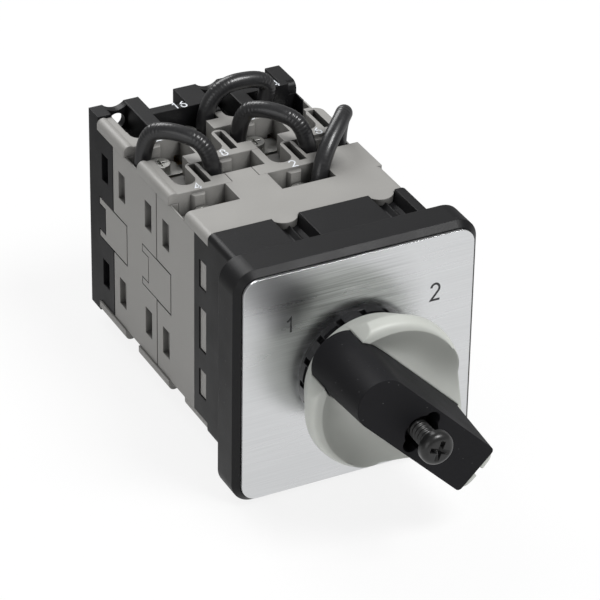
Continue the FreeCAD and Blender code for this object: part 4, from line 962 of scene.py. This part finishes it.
    def disc(self) -> Piece:
        """Make the disc as a closed loop of stations, swept round the axis.

        In each direction the loop runs from the bore along the rear face, up the cone and the
        rounded rim, in over the lip, down the short wall, along the scoop and down into the seat.
        The rim's top follows the face, so it is found in a few rounds.

        Returns:
            The disc's object.
        """
        turn = self.directions()
        seat_r = self.bar_reach(turn, self.bar_width(np.full_like(turn, self.front + self.depth)))
        closed = seat_r < self.edge(turn, np.full_like(turn, self.front))
        top = np.full_like(turn, self.front)
        for _ in range(self.top_rounds):
            top = np.where(closed, self.face(turn, self.edge(turn, top)), self.seat)
        last = self.edge(turn, top)
        seat_r = np.minimum(np.where(closed, seat_r, last), last)
        foot = np.where(closed, self.bar_reach(turn, np.full_like(turn, self.bar_half[0])), last)
        bore = np.full_like(turn, self.bore_r)
        seat = np.full_like(turn, self.seat)
        shares = np.concatenate([np.linspace(*self.cone_shares), np.linspace(*self.rim_shares)])
        depths = [self.rear + share * (top - self.rear) for share in shares]
        stations = [(bore, np.full_like(turn, self.rear))]
        stations += [(self.edge(turn, y), y) for y in depths]
        stations += self.face_stations(turn, closed, last, seat_r)
        stations += [(np.minimum(foot, last), seat), (bore, seat)]
        r, y = (np.stack(column, axis=1) for column in zip(*stations))
        grid = np.stack([r * np.sin(turn)[:, None], y, r * np.cos(turn)[:, None]], axis=-1)
        return self.place("knob_disc", grid)

    def rib(self) -> Piece:
        """Make the tail rib: a bowed bar section with a notch, drawn out to the front.

        The section lies between the bar's end and a back that falls to its corners by a power of
        the share of the width. Its last rings shrink to round the front edge, and at both ends it
        closes on the line midway between its two walls.

        Returns:
            The rib's object.
        """
        share = np.linspace(-1.0, 1.0, self.rib_steps)
        x = self.rib_half * share
        fall = (self.tail - self.bar_tail - self.rib_corner) * np.abs(share) ** self.rib_power
        bow = self.tail - self.rib_margin - fall - self.rib_sag * share ** 2
        depths, inset, dent = np.array(self.rib_rings).T
        width, notch_depth = self.notch
        notch = notch_depth * np.clip((width / 2 - np.abs(x)) / self.notch_wall + 1.0, 0.0, 1.0)
        outer = bow[None, :] - inset[:, None] - dent[:, None] * notch[None, :]
        outer = np.maximum(outer, self.bar_tail + self.rib_walls[1])
        inner = np.full_like(outer, self.bar_tail + self.rib_walls[0])
        middle = (outer + inner) / 2
        outer, inner = (np.concatenate([middle[:1], wall, middle[-1:]]) for wall in (outer, inner))
        depths, inset = (np.concatenate([row[:1], row, row[-1:]]) for row in (depths, inset))
        xs = np.repeat(x[None, :], len(depths), axis=0) * (1 - inset[:, None] / self.rib_half)
        ring_x = np.concatenate([xs, xs[:, ::-1]], axis=1)
        ring_z = -np.concatenate([outer, inner[:, ::-1]], axis=1)
        ring_y = np.repeat(depths[:, None], ring_x.shape[1], axis=1)
        return self.place("knob_tail_rib", np.stack([ring_x, ring_y, ring_z], axis=-1))

    def place(self, name: str, grid: np.ndarray) -> Piece:
        """Turn a grid to the rest direction and make it a piece of the rotor.

        Args:
            name: the piece's name.
            grid: the piece's points in the knob's own axes.

        Returns:
            The piece's object.
        """
        turn = math.radians(self.rest_deg)
        x = grid[..., 0] * math.cos(turn) + grid[..., 2] * math.sin(turn)
        z = -grid[..., 0] * math.sin(turn) + grid[..., 2] * math.cos(turn)
        piece = surface_mesh(name, [np.stack([x, grid[..., 1], z], axis=-1) * MM], True)
        close_mesh(piece, self.weld_m, self.sharp_deg)
        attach(piece, Body.ROTOR.value)
        return piece

    def build(self) -> list[Piece]:
        """Make the disc, which stands for the knob body, and its tail rib.

        Returns:
            The disc and the rib.
        """
        disc = self.disc()
        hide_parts("knob_body")
        return [disc, self.rib()]


@dataclass
class ReturnLeaf:
    """A bowed leaf spring against the housing's wall."""

    node: str
    joint: str = "knob_turn"
    thick_mm: float = 0.3
    foot_mm: float = 0.6
    keep: float = 0.43
    steps: int = 33
    sharp_deg: float = 40.0

    def build(self) -> Piece:
        """Make the leaf as the space between two arcs, drawn out along Y.

        An arc's point at height z lies at the near face plus R less the root of R squared less z
        squared, where R follows from the arc's half height and its bow.

        Returns:
            The leaf's object.
        """
        low, high = (np.array(corner, dtype=float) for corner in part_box(self.node))
        side = 1.0 if low[0] > 0 else -1.0
        far, near = (high[0], low[0]) if side > 0 else (low[0], high[0])
        half = (high[2] - low[2]) / 2
        share = np.linspace(-1.0, 1.0, self.steps)
        arcs = []
        for inset, foot in ((0.0, 0.0), (self.thick_mm * MM, self.foot_mm * MM)):
            reach, bow = half - foot, abs(far - near) - inset
            radius = (reach ** 2 + bow ** 2) / (2 * bow)
            z = share * reach
            x = near + side * (inset + radius - np.sqrt(radius ** 2 - z ** 2))
            arcs.append(np.stack([x, z], axis=1))
        middle = (arcs[0] + arcs[1]) / 2
        section = np.concatenate([arcs[0], arcs[1][::-1]])
        closed = np.concatenate([middle, middle[::-1]])
        rows = ((closed, low[1]), (section, low[1]), (section, high[1]), (closed, high[1]))
        rings = [np.column_stack([ring[:, 0], np.full(len(ring), y), ring[:, 1]]) for ring, y in rows]
        grid = np.stack(rings)
        piece = surface_mesh(self.node.replace("spring", "leaf"), [grid], True)
        close_mesh(piece, sharp_deg=self.sharp_deg)
        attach(piece, Body.HOUSING.value)
        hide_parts(self.node)
        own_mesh(piece)
        return piece


@dataclass
class ReturnLeaves:
    """The leaf springs of the levels whose followers move out as the knob turns."""

    levels: tuple[int, ...] = (1, 3)
    hands: tuple[str, ...] = ("left", "right")

    def build(self) -> list[Piece]:
        """Make a leaf for each level and hand."""
        nodes = [f"return_spring_{level}_{hand}" for level in self.levels for hand in self.hands]
        return [ReturnLeaf(node).build() for node in nodes]


@dataclass
class ScrewThread:
    """The rolled thread on the knob screw's free length."""

    front_mm: float = -33.3
    rear_mm: float = -25.2
    root_mm: float = 1.42
    crest_mm: float = 1.78
    crest_power: float = 1.3
    pitch_mm: float = 0.9
    fade_mm: float = 0.4
    rows_per_pitch: int = 12
    around: int = 60

    def build(self) -> Piece:
        """Make the thread as a sleeve round the shank.

        The radius is the root plus a sharpened cosine of the place along the axis over the pitch
        less the angle's share of a turn, so that the ridge climbs one pitch a turn. It fades to the
        root at both ends.

        Returns:
            The thread's object.
        """
        rows = int((self.rear_mm - self.front_mm) / self.pitch_mm * self.rows_per_pitch)
        along = np.linspace(self.front_mm, self.rear_mm, rows)[:, None]
        angle = round_angles(self.around)[None, :]
        phase = along / self.pitch_mm - angle / TURN
        ridge = (0.5 + 0.5 * np.cos(TURN * phase)) ** self.crest_power
        fade = np.clip(np.minimum(along - self.front_mm, self.rear_mm - along) / self.fade_mm, 0.0, 1.0)
        radius = self.root_mm + (self.crest_mm - self.root_mm) * ridge * fade
        grid = np.stack([radius * np.sin(angle), along + 0 * angle, radius * np.cos(angle)], axis=-1) * MM
        piece = surface_mesh("knob_screw_thread", [grid], True)
        close_mesh(piece)
        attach(piece, Body.ROTOR.value)
        return piece


def arc(centre: Pair, reach: Pair, start: float, end: float, steps: int = 28) -> list[Pair]:
    """Return points on an ellipse, with angles in degrees from the right, counter-clockwise."""
    angles = np.radians(np.linspace(start, end, steps))
    return [(centre[0] + reach[0] * math.cos(a), centre[1] + reach[1] * math.sin(a)) for a in angles]


SIX = [arc((0.30, 0.30), (0.25, 0.30), 0, 360), [(0.06, 0.36), (0.12, 0.62), (0.26, 0.84), (0.46, 1.0)]]
DIGITS: dict[str, list[list[Pair]]] = {
    "0": [arc((0.30, 0.50), (0.26, 0.50), 0, 360)],
    "1": [[(0.10, 0.76), (0.24, 0.84), (0.35, 1.0), (0.35, 0.0)]],
    "2": [arc((0.30, 0.72), (0.25, 0.28), 170, -35) + [(0.28, 0.28), (0.05, 0.0), (0.58, 0.0)]],
    "3": [arc((0.28, 0.75), (0.22, 0.25), 155, -80), arc((0.28, 0.27), (0.26, 0.27), 80, -155)],
    "4": [[(0.44, 0.0), (0.44, 1.0), (0.03, 0.30), (0.60, 0.30)]],
    "5": [[(0.52, 1.0), (0.14, 1.0), (0.10, 0.50)] + arc((0.28, 0.32), (0.26, 0.32), 125, -145)],
    "6": SIX,
    "7": [[(0.04, 1.0), (0.56, 1.0), (0.22, 0.0)]],
    "8": [arc((0.30, 0.76), (0.20, 0.24), 0, 360), arc((0.30, 0.27), (0.25, 0.27), 0, 360)],
    "9": [[(0.60 - x, 1.0 - y) for x, y in stroke] for stroke in SIX],
}


@dataclass
class PrintedNumber:
    """A plain printed number, lying on a flat face.

    The stroke's width, the digit's width and the advance to the next digit are in digit heights.
    The corner is the least cosine by which a bend widens the stroke.
    """

    name: str
    text: str
    place_mm: Point
    height_mm: float
    across: Point
    up: Point
    thick_mm: float = 0.02
    stroke: float = 0.13
    digit: float = 0.6
    advance: float = 0.74
    corner: float = 0.45

    def ribbon(self, line: np.ndarray) -> np.ndarray:
        """Return the flat bar that follows one stroke.

        At each point the bar's four corners lie half the stroke's width to the left and right,
        measured square to the mean direction there and widened at corners so that the bar keeps
        its width, and half the thickness to the front and back.

        Args:
            line: the stroke's points in digit heights, shaped count, 2.

        Returns:
            Corner points in digit heights, shaped count + 2, 4, 3.
        """
        before = unit(np.diff(line, axis=0, prepend=2 * line[:1] - line[1:2]))
        after = unit(np.diff(line, axis=0, append=2 * line[-1:] - line[-2:-1]))
        mean = unit(before + after)
        left = np.stack([-mean[:, 1], mean[:, 0]], axis=1)
        half = self.stroke / 2 / np.clip(np.sum(mean * after, axis=1, keepdims=True), self.corner, 1.0)
        rise = self.thick_mm / self.height_mm / 2
        sides = ((1, rise), (-1, rise), (-1, -rise), (1, -rise))
        edges = [np.column_stack([line + side * half * left, np.full(len(line), z)]) for side, z in sides]
        ring = np.stack(edges, 1)
        ends = [np.repeat(ring[row].mean(axis=0)[None, None, :], 4, axis=1) for row in (0, -1)]
        return np.concatenate([ends[0], ring, ends[1]], axis=0)

    def build(self) -> Piece:
        """Make the number as thin raised bars.

        Each stroke's bar is turned from digit heights onto the face by the directions across, up
        and out of it.

        Returns:
            The number's object.
        """
        width = self.advance * (len(self.text) - 1) + self.digit
        frame = np.array([self.across, self.up, np.cross(self.across, self.up)])
        grids = []
        for count, digit in enumerate(self.text):
            for stroke in DIGITS[digit]:
                line = np.array(stroke) + (self.advance * count - width / 2, -0.5)
                bars = self.ribbon(line) @ frame * self.height_mm
                grids.append((bars + np.array(self.place_mm)) * MM)
        piece = surface_mesh(self.name, grids, True, smooth=False)
        close_mesh(piece)
        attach(piece, Body.HOUSING.value)
        return piece


@dataclass
class NumberSet:
    """The numbers on the dial plate and beside the terminals.

    Each dial number has its place across and up and its height, each terminal number its place
    across and along. The lower side's numbers are each one less than those above them.
    """

    plate_front_mm: float = -6.9
    deck_mm: float = 19.4
    crest_mm: float = 19.8
    crest_from_mm: float = 50.2
    lift_mm: float = 0.01
    terminal_height_mm: float = 2.0
    dial: tuple[tuple[str, float, float, float], ...] = (("1", -12.8, 11.3, 2.8), ("2", 14.2, 10.6, 3.1))
    upper: tuple[tuple[str, float, float], ...] = (
        ("4", -13.0, 28.0), ("2", 5.2, 28.0), ("8", -3.9, 36.5), ("6", 14.3, 36.5),
        ("12", -13.0, 46.1), ("10", 5.2, 46.1), ("16", -3.9, 54.6), ("14", 14.3, 54.6),
    )

    def dial_numbers(self) -> list[Piece]:
        """Make the two numbers of the dial plate."""
        front = self.plate_front_mm - self.lift_mm
        return [
            PrintedNumber(f"dial_number_{text}", text, (x, front, z), size, (1, 0, 0), (0, 0, 1)).build()
            for text, x, z, size in self.dial
        ]

    def terminal_numbers(self) -> list[Piece]:
        """Make the numbers beside the terminals, on both sides.

        Returns:
            The numbers' objects.
        """
        pieces = []
        for side in Side:
            for text, x, y in self.upper:
                label = text if side is Side.UPPER else str(int(text) - 1)
                height = self.crest_mm if y > self.crest_from_mm else self.deck_mm
                place = (x, y, side.value * (height + self.lift_mm))
                number = PrintedNumber(f"terminal_number_{label}", label, place, self.terminal_height_mm,
                                       (1, 0, 0), (0, side.value, 0))
                pieces.append(number.build())
        return pieces


@dataclass
class Studio:
    """Plain pale floor, soft lamps and the photograph's view.

    The camera's axes are its right, up and back directions. The floor shows white to the view and
    in mirrors fades from one level to another between two places along Y.
    """

    lens_mm: float = 210.0
    sensor_mm: float = 36.0
    clip_m: Pair = (0.01, 20.0)
    eye_m: Point = (-0.23373, -0.43701, 0.31496)
    right: Point = (0.89222, -0.45135, 0.01513)
    up: Point = (0.22583, 0.47493, 0.85055)
    back: Point = (-0.39108, -0.75546, 0.52567)
    floor_m: float = -0.0226
    floor_reach_m: float = 6.0
    floor_grey: float = 0.86
    floor_seen: float = 0.86
    floor_mirrored_m: Pair = (-0.03, 0.12)
    floor_mirrored: Pair = (0.84, 0.3)
    world_light: float = 0.28
    lamps: tuple[tuple[str, Point, float, float], ...] = (
        ("key", (0.30, -0.40, 0.85), 0.42, 8.0),
        ("fill", (-0.75, -0.45, 0.35), 0.6, 1.25),
        ("rear", (-0.03, 0.8, 0.6), 0.6, 4.4),
    )

    def camera(self) -> Piece:
        """Make the camera at the photograph's viewpoint.

        Returns:
            The camera's object.
        """
        data = bpy.data.cameras.new("view")
        data.lens = self.lens_mm
        data.sensor_width = self.sensor_mm
        data.clip_start, data.clip_end = self.clip_m
        camera = bpy.data.objects.new("view", data)
        turn = Matrix((self.right, self.up, self.back)).transposed().to_4x4()
        camera.matrix_world = Matrix.Translation(Vector(self.eye_m)) @ turn
        bpy.context.scene.collection.objects.link(camera)
        bpy.context.scene.camera = camera
        return camera

    def floor_material(self) -> bpy.types.Material:
        """Make the floor's material, part diffuse for the shadow and part glow for the white.

        Returns:
            The material.
        """
        sheet = NodeSheet(bpy.data.materials.new("studio_floor"))
        sheet.tree.nodes.clear()
        rays = sheet.add("ShaderNodeLightPath").outputs
        share = sheet.calculate("MULTIPLY_ADD", rays["Is Camera Ray"], self.floor_seen, rays["Is Glossy Ray"])
        where = sheet.add("ShaderNodeTexCoord").outputs["Object"]
        along = sheet.add("ShaderNodeSeparateXYZ", Vector=where).outputs["Y"]
        mirrored = sheet.ramp(along, self.floor_mirrored_m, self.floor_mirrored)
        strength = sheet.calculate("MAXIMUM", rays["Is Camera Ray"], mirrored)
        diffuse = sheet.add("ShaderNodeBsdfDiffuse", Color=(self.floor_grey,) * 3 + (1.0,))
        glow = sheet.add("ShaderNodeEmission", Strength=strength)
        both = sheet.add("ShaderNodeMixShader")
        for socket, value in zip(both.inputs, (share, diffuse.outputs["BSDF"], glow.outputs["Emission"])):
            sheet.feed(socket, value)
        sheet.add("ShaderNodeOutputMaterial", Surface=both.outputs["Shader"])
        return sheet.block

    def floor(self) -> Piece:
        """Make the pale floor, a level grid of points.

        Returns:
            The floor's object.
        """
        steps = np.linspace(-self.floor_reach_m, self.floor_reach_m, 3)
        xs, ys = np.meshgrid(steps, steps, indexing="ij")
        grid = np.stack([xs, ys, np.full_like(xs, self.floor_m)], axis=-1)
        piece = surface_mesh("studio_floor", [grid], False)
        piece.data.materials.append(self.floor_material())
        return piece

    def light(self) -> None:
        """Set the lamps, which look at the origin, and the world."""
        for name, place, size, power in self.lamps:
            data = bpy.data.lights.new(name, "AREA")
            data.shape = "DISK"
            data.size = size
            data.energy = power
            lamp = bpy.data.objects.new(name, data)
            lamp.location = place
            lamp.rotation_euler = (-Vector(place)).to_track_quat("-Z", "Y").to_euler()
            bpy.context.scene.collection.objects.link(lamp)
        world = bpy.data.worlds.new("studio")
        bpy.context.scene.world = world
        sheet = NodeSheet(world)
        seen = sheet.add("ShaderNodeLightPath").outputs["Is Camera Ray"]
        strength = sheet.ramp(seen, (0.0, 1.0), (self.world_light, 1.0))
        sheet.fill(sheet.tree.nodes["Background"], Color=(1.0, 1.0, 1.0, 1.0), Strength=strength)
        bpy.context.scene.view_settings.view_transform = "Standard"

    def build(self) -> None:
        """Set up camera, floor and light."""
        self.camera()
        self.floor()
        self.light()


@dataclass
class Dressing:
    """Gives every CAD node and new piece the finish of its slot."""

    frame: dict
    materials: dict[str, bpy.types.Material] = field(default_factory=dict)

    def mix_finishes(self) -> None:
        """Make one material for each finish."""
        for finish in FINISHES:
            self.materials[finish.slot.value] = finish.material()

    def dress_nodes(self) -> None:
        """Put each CAD node's finish on its material slots."""
        slots = {part["node"]: part["material_slot"] for part in self.frame["record"]["subparts"]}
        for name, node in self.frame["nodes"].items():
            for place in node.material_slots:
                place.material = self.materials[slots[name]]
            LOG.info("dressed %s as %s", name, slots[name])

    def coat(self, pieces: list[Piece], material: bpy.types.Material, slot: Slot) -> None:
        """Give new pieces a material.

        Args:
            pieces: the new pieces.
            material: the material that they get.
            slot: the slot that they belong to; not used.
        """
        for piece in pieces:
            piece.data.materials.clear()
            piece.data.materials.append(material)
            LOG.info("built %s with %s", piece.name, material.name)

    def dress(self, pieces: list[Piece], slot: Slot) -> None:
        """Give new pieces the finish of a slot."""
        self.coat(pieces, self.materials[slot.value], slot)


def main() -> None:
    """Build the looks in order and report each piece."""
    logging.basicConfig(level=logging.INFO, format="%(name)s: %(message)s")
    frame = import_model()
    Studio().build()
    dressing = Dressing(frame)
    dressing.mix_finishes()
    dressing.dress_nodes()
    dressing.dress(Wiring().build(), Slot.WIRE)
    dressing.dress(KnobShell().build(), Slot.KNOB)
    dressing.dress(ReturnLeaves().build(), Slot.SPRING)
    dressing.dress([ScrewThread().build()], Slot.KNOB_SCREW)
    numbers = NumberSet()
    dressing.coat(numbers.dial_numbers(), DIAL_INK.material(), Slot.DIAL)
    dressing.coat(numbers.terminal_numbers(), TERMINAL_INK.material(), Slot.GREY)


if __name__ == "__main__":
    main()
